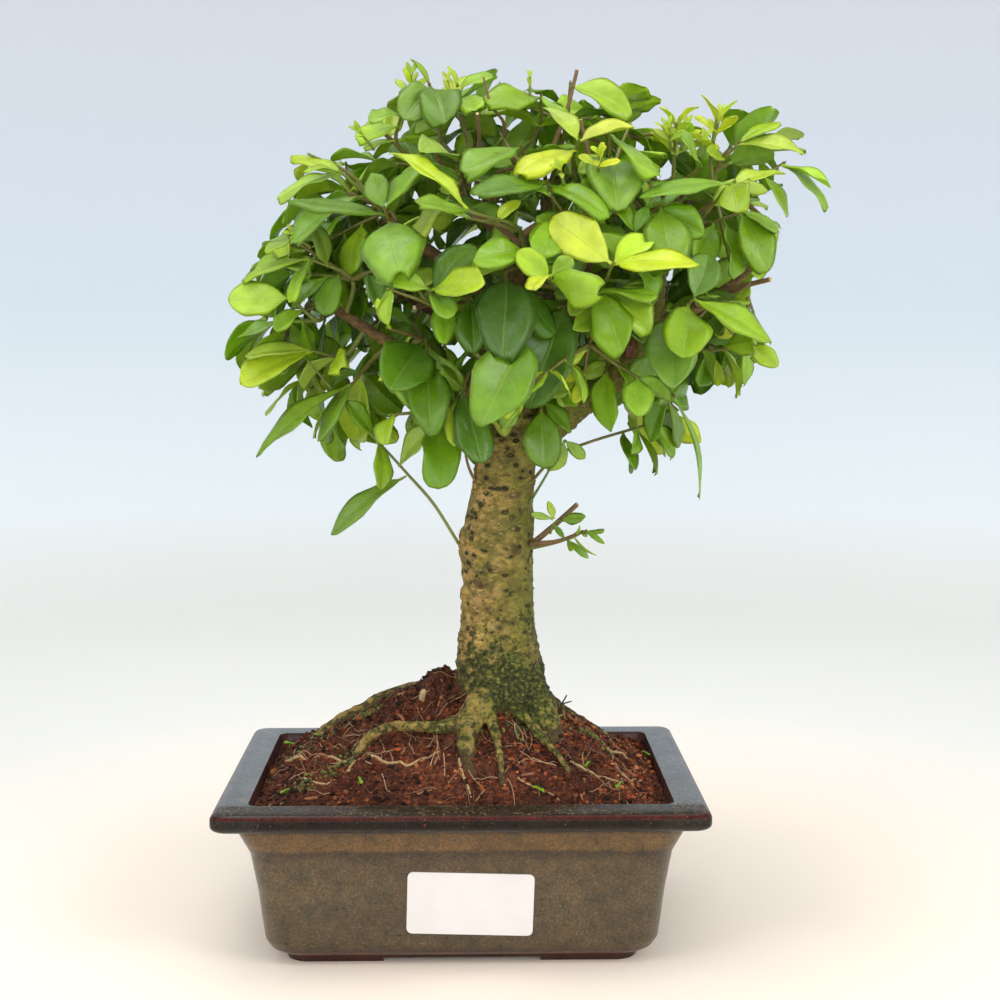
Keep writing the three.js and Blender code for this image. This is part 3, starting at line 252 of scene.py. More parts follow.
# Leafy shoots. Each stem runs from its branch to its foot and on to its tip. The first number is the
# green of its leaves, from dark (0) to yellow-lime (1), then come foot and tip. The blades are leaves
# that are placed one by one: how far along from foot to tip each grows, x, y, z of its tip, how wide it
# looks from the front as a share of its length, and, where they are given, its own green and how far it
# is narrowed. Pairs is how many pairs of opposite leaves grow by rule as well, leaf is the length of
# those blades, droop is how far they hang (0 to 1), and slim narrows them. Way is how the stem runs to
# its foot, where it isn't a plain bend. Forks are the tips of side stems that leave the stem at its
# foot and carry pairs of leaves as well.
SHOOTS = {
    "lime_pair_front": leafy(
        1.0, (50, -47, 262), (55, -76, 271), [(1, 34, -70, 288, 0.62, 0.97), (1, 82, -90, 271, 0.4, 1),
        (0.9, 69, -68, 281, 0.5, 0.8)], pairs=1, leaf=27, droop=0.5, young=True,
    ),
    "lime_tuft_front": leafy(
        0.9, (35, -57, 264), (32, -80, 266), [(1, 21, -77, 275, 0.7, 0.66), (1, 42, -75, 273, 0.7, 0.55),
        (0.8, 49, -92, 258, 0.7, 0.6), (1, 25, -96, 263, 0.35, 0.85)], young=True,
    ),
    "lime_slab": leafy(
        0.6, (24, -54, 276), (24, -67, 276), [(1, 7, -80, 273, 0.55), (1, 49, -80, 270, 0.42)], pairs=1,
        leaf=25, droop=0.4, young=True,
    ),
    "curtain_centre": leafy(
        0.3, (17, -48, 268), (23, -62, 245), [(0.05, 16, -74, 242, 0.72), (1, 10, -78, 215, 0.64, 0.3)],
        pairs=1, leaf=25, droop=0.6,
    ),
    "curtain_right": leafy(
        0.3, (43, -33, 259), (37, -52, 256), [(1, 35, -68, 227, 0.56), (0.5, 27, -50, 220, 0.6)], pairs=1,
        leaf=25, droop=0.5,
    ),
    "cheek_centre": leafy(
        0.5, (54, -42, 254), (50, -60, 262), [(1, 59, -76, 241, 0.62), (0.9, 79, -72, 261, 0.4)], pairs=1,
        leaf=23, droop=0.5,
    ),
    "forked_pair": leafy(
        0.45, (68, -44, 273), (64, -60, 283), [(1, 57, -55, 294, 0.5), (1, 71, -54, 294, 0.5),
        (0.3, 69, -62, 258, 0.5)],
    ),
    "round_right": leafy(
        0.6, (67, -36, 291), (74, -58, 293), [(1, 77, -74, 265, 0.62, 0.45), (0.9, 87, -66, 282, 0.7, 0.4),
        (0.4, 66, -50, 303, 0.4, 0.5)],
    ),
    "temple_right": leafy(
        0.8, (94, -32, 292), (102, -50, 302), [(1, 68, -66, 299, 0.3, 0.6), (1, 98, -66, 289, 0.75, 0.66),
        (1, 113, -56, 299, 0.5, 0.6), (0.8, 123, -40, 308, 0.3, 0.7)], young=True,
    ),
    "long_blade_right": leafy(
        0.7, (59, -26, 308), (56, -42, 321), [(1, 73, -60, 303, 0.34, 0.6),
        (0.4, 56, -62, 295, 0.72, 0.35)], pairs=1, leaf=24, droop=0.3,
    ),
    "yellow_pair_top": leafy(
        0.95, (43, -34, 310), (44, -52, 317), [(1, 33, -46, 331, 0.5, 0.92), (1, 64, -46, 323, 0.36, 0.97),
        (0.6, 22, -66, 307, 0.42, 0.85)], young=True,
    ),
    "brow_centre": leafy(
        0.4, (35, -46, 291), (32, -60, 301), [(1, 8, -80, 297, 0.42), (0.9, 51, -76, 291, 0.42),
        (0.5, 47, -66, 306, 0.5)],
    ),
    "yellow_blade": leafy(
        0.95, (22, -54, 284), (3, -72, 290), [(1, -22, -62, 313, 0.26, 1), (1, -14, -86, 291, 0.4, 0.45),
        (0.97, -17, -64, 303, 0.5, 0.6), (0.45, 21, -60, 295, 0.45, 0.85)], young=True,
    ),
    "round_left": leafy(
        0.4, (-25, -40, 284), (-28, -54, 292), [(0.5, -24, -76, 271, 0.92), (1, -34, -46, 305, 0.66),
        (1, -17, -44, 309, 0.4), (0.7, -63, -46, 295, 0.3)],
    ),
    "left_wing": leafy(
        0.75, (-35, -14, 298), (-46, -22, 308), [(1, -70, -28, 299, 0.24, 0.66),
        (1, -66, -22, 305, 0.42, 0.6), (0.9, -65, -12, 316, 0.34, 0.92), (0.2, -62, -36, 281, 0.36, 0.5)],
        young=True,
    ),
    "left_fan": leafy(
        0.7, (-43, -12, 267), (-59, -20, 275), [(1, -84, -26, 269, 0.24, 0.62),
        (1, -67, -28, 260, 0.4, 0.5), (0.6, -56, -26, 289, 0.4, 0.5), (0.3, -54, -24, 255, 0.6, 0.35)],
        young=True, forks=[(-76, 12, 272)],
    ),
    "lime_round_left": leafy(
        0.85, (-56, -16, 251), (-67, -22, 260), [(1, -89, -26, 260, 0.66, 0.82),
        (0.5, -72, -26, 247, 0.45, 0.5), (0.1, -45, -22, 268, 0.6, 0.4)], young=True, forks=[(-80, 4, 250)],
    ),
    "left_shelf": leafy(
        0.75, (-47, -6, 237), (-59, -14, 239), [(1, -84, -20, 238, 0.3), (1, -86, -22, 227, 0.4)], pairs=1,
        leaf=22, droop=0.4, young=True, forks=[(-68, 18, 236)],
    ),
    "left_low_pair": leafy(
        0.5, (-36, -10, 235), (-43, -16, 226), [(1, -80, -26, 201, 0.28, 0.5, 0.62),
        (1, -56, -24, 205, 0.36, 0.45, 0.85), (0.5, -41, 4, 202, 0.55)], forks=[(-48, 16, 220)],
    ),
    "long_shoot": leafy(
        0.5, (-12, -8, 176), (-36, -14, 206), [(0.42, -51, -22, 169, 0.34, 0.5, 0.62),
        (0.9, -30, -22, 186, 0.4), (1, -46, -14, 219, 0.36), (0.55, -12, -20, 208, 0.4)], young=True,
        way=[(-1, -6, 160.5), (-11.5, -8, 177.5), (-22, -10.5, 190)],
    ),
    "veil_left": leafy(
        0.35, (-4, -12, 204), (-11, -32, 213), [(0.9, -8, -46, 190, 0.58), (1, -25, -42, 192, 0.45)],
    ),
    "veil_far_left": leafy(
        0.3, (-14, -28, 244), (-13, -46, 235), [(1, -11, -60, 211, 0.62), (0.3, -27, -64, 228, 0.66)],
        pairs=1, leaf=24, droop=0.7,
    ),
    "shade_left": leafy(
        0.2, (-2, -38, 262), (4, -54, 259), [(1, 6, -66, 241, 0.66), (0.5, -5, -62, 243, 0.85),
        (1, 1, -60, 231, 0.5)],
    ),
    "lime_pair_left": leafy(
        0.85, (-7, -44, 253), (-11, -66, 262), [(1, -28, -68, 269, 0.55, 0.68), (1, 7, -82, 263, 0.5, 0.68),
        (0.9, 3, -55, 280, 0.6, 0.28), (0.8, -5, -78, 254, 0.55, 0.34)], young=True,
    ),
    "tassel_centre": leafy(
        0.25, (5, -32, 232), (0, -44, 224), [(1, 8, -56, 199, 0.56), (0.9, -9, -50, 232, 0.5)],
    ),
    "tassel_right": leafy(
        0.3, (35, -24, 225), (31, -36, 217), [(1, 31, -46, 197, 0.78), (0.7, 43, -34, 209, 0.5)],
    ),
    "pale_cluster_right": leafy(
        0.85, (80, -38, 250), (87, -54, 259), [(1, 112, -66, 243, 0.42, 0.66),
        (1, 94, -46, 275, 0.85, 0.52), (0.8, 80, -72, 239, 0.64, 0.44), (0.2, 77, -66, 228, 0.6, 0.45)],
        young=True,
    ),
    "right_hang": leafy(
        0.45, (99, -23, 289), (109, -29, 293), [(0.9, 118, -38, 272, 0.6), (1, 125, -30, 282, 0.5),
        (0.3, 104, -38, 268, 0.45), (0, 92, -30, 273, 0.7)],
    ),
    "right_crest": leafy(
        0.7, (101, -10, 310), (109, -16, 320), [(1, 133, -22, 317, 0.36), (1, 125, -12, 330, 0.3),
        (0.4, 93, -20, 321, 0.5)], forks=[(120, 8, 320)],
    ),
    "right_tip": leafy(
        0.6, (116, -15, 306), (126, -18, 312), [(1, 144, -24, 304, 0.3), (1, 145, -20, 298, 0.24),
        (0.3, 130, -14, 293, 0.4)],
    ),
    "right_low_twig": leafy(
        0.7, (92, -12, 240), (116, -20, 241), [(1, 124, -24, 233, 0.75)], pairs=2, leaf=19, droop=0.4,
    ),
    "right_tassel": leafy(
        0.45, (80, -22, 225), (83, -27, 222), [(1, 98, -28, 185, 0.2, 0.5, 0.5), (1, 90, -26, 206, 0.42),
        (0.6, 75, -20, 204, 0.4)],
    ),
    "fork_leaf": leafy(
        0.5, (60, -12, 236), (57, -20, 231), [(1, 57, -26, 209, 0.5)], pairs=1, leaf=13, droop=0.2,
    ),
    "right_under": leafy(
        0.4, (60, -8, 205), (76, -14, 210), pairs=3, leaf=20, droop=0.8, way=[(27, -4, 184),
        (38.4, -6, 196.4), (50, -7, 201.5)],
    ),
    "top_left_round": leafy(
        0.45, (-8, -2, 327), (-12, -8, 343), [(1, -19, -26, 330, 0.78, 0.3), (1, -9, -28, 327, 0.78, 0.32),
        (1, -19, -8, 353, 0.3)], pairs=1, leaf=22, droop=0.3,
    ),
    "top_light": leafy(
        0.7, (1, 2, 330), (-1, -4, 343), [(1, 12, -8, 348, 0.38), (1, -5, -6, 351, 0.35),
        (0.7, 8, -22, 331, 0.7)], forks=[(-8, 24, 342)],
    ),
    "top_broad": leafy(
        0.6, (31, 4, 327), (32, -6, 339), [(1, 13, -24, 336, 0.5), (1, 39, -24, 331, 0.4)], pairs=1,
        leaf=23, droop=0.3,
    ),
    "top_bright": leafy(
        0.7, (43, 8, 331), (44, 2, 345), [(1, 67, -8, 335, 0.45)], pairs=1, leaf=23, droop=0.2,
        forks=[(64, 26, 340), (24, 28, 341)],
    ),
    "crest_left": leafy(
        0.6, (-25, -10, 320), (-23, -18, 331), [(1, -34, -28, 328, 0.42), (0.6, -39, -24, 321, 0.4)],
        pairs=1, leaf=20, droop=0.3,
    ),
    "brow_left": leafy(
        0.6, (1, -30, 305), (-1, -40, 311), [(1, -19, -60, 313, 0.48)], pairs=1, leaf=23, droop=0.3,
    ),
    "brow_light": leafy(
        0.4, (25, -26, 310), (23, -38, 316), [(1, 3, -60, 306, 0.4)], pairs=1, leaf=24, droop=0.2,
    ),
    "new_growth_right": leafy(
        0.85, (85, -6, 312), (85, -12, 327), pairs=3, leaf=13, droop=0, slim=0.8, young=True,
    ),
    "new_growth_tip": leafy(
        0.9, (99, -12, 312), (100, -18, 329), pairs=3, leaf=14, droop=0, slim=0.8, young=True,
    ),
    "curl_right": leafy(
        0.6, (87, -18, 304), (92, -30, 309), [(1, 83, -46, 319, 0.36)], pairs=1, leaf=22, droop=0.5,
    ),
    "trunk_twig": leafy(
        0.6, (40, -8, 162), (48, -12, 166), pairs=3, leaf=12, droop=0.3, slim=0.42, young=True,
    ),
    "back_left_high": leafy(
        0.5, (-30, 16, 296), (-63, 38, 299), pairs=5, leaf=27, droop=0.4, forks=[(-64, 8, 284),
        (-44, 44, 284)],
    ),
    "back_left_low": leafy(
        0.4, (-35, 54, 264), (-66, 62, 250), pairs=5, leaf=27, droop=0.5, forks=[(-60, 36, 266)],
    ),
    "back_centre_left": leafy(
        0.45, (8, 56, 268), (-16, 90, 276), pairs=5, leaf=27, droop=0.5, forks=[(-22, 68, 290)],
    ),
    "back_centre": leafy(
        0.5, (46, 62, 273), (62, 94, 282), pairs=5, leaf=27, droop=0.5, forks=[(76, 78, 262)],
    ),
    "back_under": leafy(0.35, (36, 46, 254), (16, 82, 234), pairs=4, leaf=27, droop=0.6),
    "back_right_low": leafy(
        0.4, (86, 42, 248), (116, 66, 246), pairs=5, leaf=26, droop=0.6, forks=[(108, 26, 240),
        (92, 66, 268)],
    ),
    "back_right_high": leafy(
        0.5, (84, 22, 292), (112, 52, 306), pairs=5, leaf=27, droop=0.4, forks=[(112, 20, 318),
        (84, 54, 316)],
    ),
    "back_top": leafy(
        0.6, (38, 44, 304), (54, 72, 326), pairs=5, leaf=26, droop=0.4, forks=[(18, 60, 334),
        (68, 44, 332)],
    ),
    "back_top_left": leafy(
        0.55, (4, 24, 312), (-18, 54, 328), pairs=5, leaf=26, droop=0.4, forks=[(8, 46, 340),
        (-36, 34, 318)],
    ),
}

# Outline of the crown from the front, x and z in the plane through the trunk
CROWN_OUTLINE = [
    (-52, 172), (-82, 201), (-89, 227), (-87, 255), (-92, 263), (-85, 273), (-69, 301), (-66, 317),
    (-46, 319), (-36, 333), (-20, 350), (8, 348), (28, 349), (46, 348), (67, 339), (76, 330), (104, 332),
    (114, 327), (137, 321), (147, 305), (127, 297), (130, 286), (126, 273), (117, 261), (127, 237),
    (124, 227), (100, 222), (100, 190), (79, 196), (66, 214), (40, 214), (8, 200), (-20, 196),
]

# Thin twigs that fill the crown: how many, the trials for them, how long each may be, the room between
# their tips, the lowest place that they grow from, and how much each leaf may hide of the placed leaves
TWIGS_WANTED = 200
TWIG_TRIALS = 2600
TWIG_SHORTEST = 9
TWIG_LONGEST = 62
TWIG_ROOM = 11
TWIG_FLOOR = 212
TWIG_LEAF_TRIES = 5
PAIR_SPACING = 9.5
COVERING_SHARE = 0.12

# Tips of the first of these twigs
FIRST_TIPS = [
    (-46, -24, 250), (-36, -20, 240), (-5, 14, 326), (-23, 4, 296), (-11, 2, 283), (4, 14, 281),
    (-14, 2, 263), (-52, 8, 304), (-40, 6, 270), (18, 12, 310), (-30, 14, 312), (-62, 6, 262),
    (-20, 10, 250), (10, 16, 256), (60, 8, 268), (46, 10, 330), (74, 12, 300), (90, 10, 280),
    (-2, 6, 300), (34, 14, 292), (66, 6, 240), (-44, 10, 236),
]

# Scars and knots on the front of the trunk: x, z, size, height and how pale (0 to 1)
KNOTS = [
    (15.5, 153.4, 3.4, 1.3, 0.5), (7.0, 145.3, 2.6, 0.9, 0.1), (12.7, 127.7, 2.4, 0.7, 0.9),
    (8.7, 140.8, 2.0, 0.8, 0.8), (0.5, 139.6, 2.8, 1.4, 0.4), (21.2, 158.3, 2.4, 0.9, 0.1),
]


def srgb(red, green, blue):
    """Linear colour of 0 to 255 screen values."""
    channels = [c / 255 for c in (red, green, blue)]
    return tuple(c / 12.92 if c <= 0.04045 else ((c + 0.055) / 1.055) ** 2.4 for c in channels)


def unit(vector):
    return vector / np.linalg.norm(vector)


def metres(points):
    """Millimetres in the pot's frame to metres in the row frame."""
    return np.asarray(points, float) * MM + POT_CENTRE


def smooth_noise(points, size, seed=0):
    """Smooth noise from -1 to 1 at each point, with features of the given size."""
    cells = np.asarray(points, float) / size
    corner = np.floor(cells).astype(np.int64)
    share = cells - corner
    share = share * share * (3 - 2 * share)
    total = np.zeros(len(cells))
    for step in np.ndindex(2, 2, 2):
        at = corner + np.array(step)
        mixed = at[:, 0] * 73856093 ^ at[:, 1] * 19349663 ^ at[:, 2] * 83492791 ^ (seed * 2654435 + 97)
        mixed = (mixed ^ (mixed >> 13)) * 1274126177 & 0xFFFFFFFF
        mixed = (mixed ^ (mixed >> 16)) & 0xFFFF
        weight = np.prod(np.where(np.array(step) == 1, share, 1 - share), axis=1)
        total += weight * mixed / 0xFFFF
    return total * 2 - 1


def mesh_object(name, points, faces, smooth=True, colours=None, uvs=None, sharp=None):
    """Object with a mesh of the given points, which are in millimetres in the pot's frame."""
    mesh = bpy.data.meshes.new(name)
    mesh.from_pydata(metres(points).tolist(), [], [list(face) for face in faces])
    mesh.update()
    mesh.polygons.foreach_set("use_smooth", [smooth] * len(mesh.polygons))
    if sharp is not None:
        mesh.set_sharp_from_angle(angle=math.radians(sharp))
    if colours is not None:
        layer = mesh.attributes.new("tint", "FLOAT_COLOR", "POINT")
        layer.data.foreach_set("color", np.c_[colours, np.ones(len(colours))].astype(np.float32).ravel())
    if uvs is not None:
        corner_points = np.zeros(len(mesh.loops), np.int32)
        mesh.loops.foreach_get("vertex_index", corner_points)
        layer = mesh.uv_layers.new(name="blade")
        layer.data.foreach_set("uv", np.asarray(uvs, np.float32)[corner_points].ravel())
    made = bpy.data.objects.new(name, mesh)
    bpy.context.scene.collection.objects.link(made)
    return made


def vertex_values(made, name):
    """Places or normals of a mesh's points, as rows of three."""
    values = np.zeros(len(made.data.vertices) * 3, np.float32)
    made.data.vertices.foreach_get(name, values)
    return values.reshape(-1, 3).astype(float)


def settle(made):
    """Turns an object's modifiers into its mesh."""
    bpy.context.view_layer.update()
    graph = bpy.context.evaluated_depsgraph_get()
    mesh = bpy.data.meshes.new_from_object(made.evaluated_get(graph))
    made.modifiers.clear()
    made.data = mesh


def piece(made, material, slot, nodes=()):
    """Gives a piece its material and its place on the part."""
    if not made.data.materials:
        made.data.materials.append(material)
    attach(made, "root")
    if nodes:
        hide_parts(*nodes)


class Pile:
    """Collects points and faces of many small forms for one mesh."""

    def __init__(self):
        self.points = []
        self.faces = []
        self.colours = []
        self.uvs = []
        self.count = 0

    def add(self, points, faces, colour=None, uvs=None):
        self.points.append(np.asarray(points, float))
        self.faces.extend([[i + self.count for i in face] for face in faces])
        if colour is not None:
            self.colours.append(np.broadcast_to(np.asarray(colour, float), (len(points), 3)))
        if uvs is not None:
            self.uvs.append(np.broadcast_to(np.asarray(uvs, float), (len(points), 2)))
        self.count += len(points)

    def build(self, name, **options):
        if self.colours:
            options["colours"] = np.concatenate(self.colours)
        if self.uvs:
            options["uvs"] = np.concatenate(self.uvs)
        return mesh_object(name, np.concatenate(self.points), self.faces, **options)


def loft(rings, closed=True):
    """Points and faces of a skin over rings that have the same number of points."""
    count = len(rings[0])
    points = np.concatenate([np.asarray(ring, float) for ring in rings])
    faces = []
    for r in range(len(rings) - 1):
        for i in range(count):
            j = (i + 1) % count
            faces.append([r * count + i, r * count + j, (r + 1) * count + j, (r + 1) * count + i])
    if closed:
        faces.append(list(range(count))[::-1])
        faces.append(list(range((len(rings) - 1) * count, len(rings) * count)))
    return points, faces


def curve_point(points, t):
    """Point of a smooth curve through points, t from 0 to 1."""
    place = (len(points) - 1) * t
    k = min(int(place), len(points) - 2)
    w = place - k
    p1 = points[k]
    p2 = points[k + 1]
    p0 = points[k - 1] if k > 0 else 2 * p1 - p2
    p3 = points[k + 2] if k + 2 < len(points) else 2 * p2 - p1
    d1 = max(np.linalg.norm(p2 - p1) ** 0.5, 1e-2)
    d0 = max(np.linalg.norm(p1 - p0) ** 0.5, 1e-2)
    d2 = max(np.linalg.norm(p3 - p2) ** 0.5, 1e-2)
    t1 = ((p1 - p0) / d0 - (p2 - p0) / (d0 + d1) + (p2 - p1) / d1) * d1
    t2 = ((p2 - p1) / d1 - (p3 - p1) / (d1 + d2) + (p3 - p2) / d2) * d1
    square = -3 * p1 + 3 * p2 - 2 * t1 - t2
    cube = 2 * p1 - 2 * p2 + t1 + t2
    return p1 + t1 * w + square * w * w + cube * w * w * w


def tube(rows, sides, steps, wobble=0.0, seed=0, round_end=True):
    """Points and faces of a tapering tube through rows of x, y, z and radius."""
    rows = np.asarray(rows, float)
    centres = rows[:, :3]
    count = (len(rows) - 1) * steps
    across = None
    rings = []
    for i in range(count + 1):
        t = i / count
        centre = curve_point(centres, t)
        ahead = curve_point(centres, min(1, t + 1e-3))
        behind = curve_point(centres, max(0, t - 1e-3))
        along = unit(ahead - behind)
        if across is None:
            across = np.array([1.0, 0, 0]) if abs(along[2]) > 0.9 else UP
        across = unit(across - along * across.dot(along))
        third = np.cross(along, across)
        radius = np.interp(i / steps, range(len(rows)), rows[:, 3])
        angles = 2 * math.pi * np.arange(sides) / sides
        spread = radius * np.ones(sides)
        if wobble:
            probe = np.c_[np.cos(angles), np.sin(angles), np.full(sides, i * 0.35)]
            spread = radius * (1 + wobble * smooth_noise(probe * 1.3 + seed * 7.1, 1.0, seed))
        ring = centre + np.outer(spread * np.cos(angles), across) + np.outer(spread * np.sin(angles), third)
        rings.append(ring)
        if round_end and i == count:
            rings.append(centre + along * radius * 0.55 + (ring - centre) * 0.6)
    return loft(rings)


def add_tubes(pile, tables, sides, steps, wobble, seed=0, colour=None):
    """Adds a tube for each table of rows to a pile."""
    for number, rows_here in enumerate(tables):
        pile.add(*tube(rows_here, sides, steps, wobble, number + seed), colour)


class Shading:
    """A material and its node tree, with short calls for the nodes that the materials use."""

    def __init__(self, name):
        self.material = bpy.data.materials.new(name)
        self.material.use_nodes = True
        self.tree = self.material.node_tree
        self.tree.nodes.clear()
        self.output = self.node("OutputMaterial")
        self.shader = self.node("BsdfPrincipled")
        self.link(self.shader.outputs[0], self.output.inputs[0])
        self.place = self.node("TexCoord").outputs["Object"]

    def node(self, kind, inputs=None, **settings):
        made = self.tree.nodes.new("ShaderNode" + kind)
        for key, value in settings.items():
            setattr(made, key, value)
        for key, value in (inputs or {}).items():
            if isinstance(value, bpy.types.NodeSocket):
                self.link(value, made.inputs[key])
            else:
                made.inputs[key].default_value = value
        return made

    def link(self, source, target):
        self.tree.links.new(source, target)

    def scaled(self, x=1000.0, y=1000.0, z=1000.0):
        """Place in millimetres, or stretched along an axis."""
        return self.node("Mapping", {"Vector": self.place, "Scale": (x, y, z)}).outputs[0]

    def noise(self, size, detail, vector=None, roughness=0.55):
        """Noise from 0 to 1 with features of about size millimetres."""
        inputs = {"Vector": vector or self.scaled(), "Scale": 1.0 / size, "Detail": detail}
        inputs["Roughness"] = roughness
        return self.node("TexNoise", inputs).outputs[0]

    def cells(self, size, vector=None, randomness=1.0):
        """Distance to the nearest of points that lie about size millimetres apart."""
        inputs = {"Vector": vector or self.scaled(), "Scale": 1.0 / size, "Randomness": randomness}
        return self.node("TexVoronoi", inputs).outputs[0]

    def ramp(self, factor, stops):
        """Colours, or numbers, in place of a factor; a stop is a factor and what stands for it."""
        made = self.node("ValToRGB", {0: factor})
        elements = made.color_ramp.elements
        while len(elements) < len(stops):
            elements.new(0.5)
        for element, (place, colour) in zip(elements, stops):
            element.position = place
            shade = colour if isinstance(colour, tuple) else (colour,) * 3
            element.color = (*shade, 1.0)
        return made.outputs[0]

    def math(self, operation, a, b=0.0, clamp=False):
        return self.node("Math", {0: a, 1: b}, operation=operation, use_clamp=clamp).outputs[0]

    def times(self, a, b, clamp=False):
        return self.math("MULTIPLY", a, b, clamp)

    def plus(self, a, b):
        return self.math("ADD", a, b)

    def minus(self, a, b):
        return self.math("SUBTRACT", a, b)

    def mix(self, factor, a, b, blend="MIX"):
        made = self.node("Mix", data_type="RGBA", blend_type=blend)
        for key, value in ((0, factor), (6, a), (7, b)):
            if isinstance(value, bpy.types.NodeSocket):
                self.link(value, made.inputs[key])
            elif key == 0:
                made.inputs[key].default_value = value
            else:
                made.inputs[key].default_value = (*value, 1.0)
        return made.outputs[2]

    def shaded(self, colour, factor, share=None):
        """Colour times a factor, in full or for a share."""
        made = self.mix(1.0, colour, factor, "MULTIPLY")
        return made if share is None else self.mix(share, colour, made)

    def cover(self, under, colour, mask, strength):
        """Lays a colour over another one where the mask is high."""
        return self.mix(self.times(mask, strength), under, colour)

    def value(self, name):
        """Number that the mesh carries at its points."""
        return self.node("Attribute", attribute_name=name).outputs["Fac"]

    def tint(self):
        """Colour that the mesh carries at its points."""
        return self.node("Attribute", attribute_name="tint").outputs["Color"]

    def axis(self, vector, name):
        return self.node("SeparateXYZ", {0: vector}).outputs[name]

    def bump(self, height, distance, strength):
        inputs = {"Height": height, "Distance": distance * MM, "Strength": strength}
        return self.node("Bump", inputs).outputs[0]

    def set(self, **sockets):
        """Sets or links the shader's sockets; underscores in a name stand for spaces."""
        for key, value in sockets.items():
            socket = self.shader.inputs[key.replace("_", " ")]
            if isinstance(value, bpy.types.NodeSocket):
                self.link(value, socket)
            else:
                socket.default_value = value
        return self.material


def simple_look(name, grain, shades, sheen, roughness, relief, bump, tinted=False, **sockets):
    """A material with three noises, each given by size and detail, for its shades, roughness and relief.

    The shades of a tinted material are factors on the colour that its mesh carries.
    """
    look = Shading(name)
    tint = look.tint() if tinted else None
    colour = look.ramp(look.noise(*grain), shades)
    return look.set(
        Base_Color=look.shaded(tint, colour) if tinted else colour,
        Roughness=look.ramp(look.noise(*sheen), [(0.3, roughness[0]), (0.7, roughness[1])]),
        Normal=look.bump(look.noise(*relief), *bump),
        **sockets,
    )


# Camera at the photograph's viewpoint
camera_data = bpy.data.cameras.new("camera")
camera_data.lens = CAMERA_LENS
camera_data.sensor_width = SENSOR
camera_data.clip_start = 0.01
camera_data.clip_end = 20
camera = bpy.data.objects.new("camera", camera_data)
bpy.context.scene.collection.objects.link(camera)
camera.location = Vector(metres(CAMERA_PLACE))
aim = np.array([
    math.sin(CAMERA_YAW) * math.cos(CAMERA_TILT),
    math.cos(CAMERA_YAW) * math.cos(CAMERA_TILT),
    -math.sin(CAMERA_TILT),
])
camera.rotation_mode = "QUATERNION"
camera.rotation_quaternion = Vector(aim).to_track_quat("-Z", "Y")
bpy.context.scene.camera = camera

# Studio: a pale floor that curves up into a pale wall all round, open above to soft light
STUDIO_RADIUS = 1500
STUDIO_BEND = 700
STUDIO_HEIGHT = 1900
STUDIO_SIDES = 64
AIR_COLOUR = (0.94, 0.97, 1.0, 1.0)
AIR_STRENGTH = 0.62
profile = [(r, 0.0) for r in np.linspace(60, STUDIO_RADIUS - STUDIO_BEND, 8)]
for angle in np.linspace(0, math.pi / 2, 12)[1:]:
    out = STUDIO_RADIUS - STUDIO_BEND + STUDIO_BEND * math.sin(angle)
    profile.append((out, STUDIO_BEND * (1 - math.cos(angle))))
profile.append((STUDIO_RADIUS, STUDIO_HEIGHT))
turn = np.linspace(0, 2 * math.pi, STUDIO_SIDES + 1)[:-1]
studio_rings = [np.c_[r * np.cos(turn), r * np.sin(turn), np.full(STUDIO_SIDES, z)] for r, z in profile]
studio_points, studio_faces = loft(studio_rings, closed=False)
studio_faces.append(list(range(STUDIO_SIDES))[::-1])
studio_faces = [face[::-1] for face in studio_faces]
studio = mesh_object("studio_floor", studio_points, studio_faces)
paint = Shading("studio_paint")
height_share = paint.times(paint.axis(paint.place, "Z"), 1.0 / 0.75, clamp=True)
wall_paint = paint.ramp(height_share, [
    (0.0, srgb(235, 233, 226)), (0.02, srgb(235, 235, 228)), (0.08, srgb(235, 240, 240)),
    (0.38, srgb(215, 224, 231)), (0.9, srgb(214, 216, 222)),
])
away = paint.node("VectorMath", {0: paint.place}, operation="LENGTH").outputs["Value"]
paint.set(
    Base_Color=paint.mix(paint.ramp(away, [(0.2, 0.0), (0.42, 1.0)]), srgb(251, 237, 221), wall_paint),
    Roughness=0.9,
    Specular_IOR_Level=0.1,
)
studio.data.materials.append(paint.material)

world = bpy.data.worlds.new("studio_air")
world.use_nodes = True
air = world.node_tree.nodes["Background"]
air.inputs["Color"].default_value = AIR_COLOUR
air.inputs["Strength"].default_value = AIR_STRENGTH
bpy.context.scene.world = world
bpy.context.scene.view_settings.view_transform = "Standard"


def soft_light(name, place, target, width, height, power, colour):
    """Rectangular light at place that shines at target; both in millimetres."""
    data = bpy.data.lights.new(name, "AREA")
    data.shape = "RECTANGLE"
    data.size = width * MM
    data.size_y = height * MM
    data.energy = power
    data.color = colour
    made = bpy.data.objects.new(name, data)
    bpy.context.scene.collection.objects.link(made)
    made.location = Vector(metres(place))
    made.rotation_mode = "QUATERNION"
    made.rotation_quaternion = Vector(np.subtract(target, place)).to_track_quat("-Z", "Y")
    made.visible_camera = False


soft_light("light_above", (-100, -150, 1300), (0, 0, 200), 1100, 1100, 9.2, (0.97, 0.985, 1.0))
soft_light("light_left", (-1000, -750, 700), (0, 0, 150), 600, 900, 5, (1.0, 0.99, 0.97))
soft_light("light_right", (1000, -700, 650), (0, 0, 150), 600, 900, 7.4, (1.0, 0.99, 0.97))
soft_light("light_front", (60, -1250, 420), (20, 0, 230), 900, 600, 4.5, (1.0, 0.99, 0.96))

# Pot: a glazed body with soft edges, hollow inside, with a recessed underside, notches and drain holes


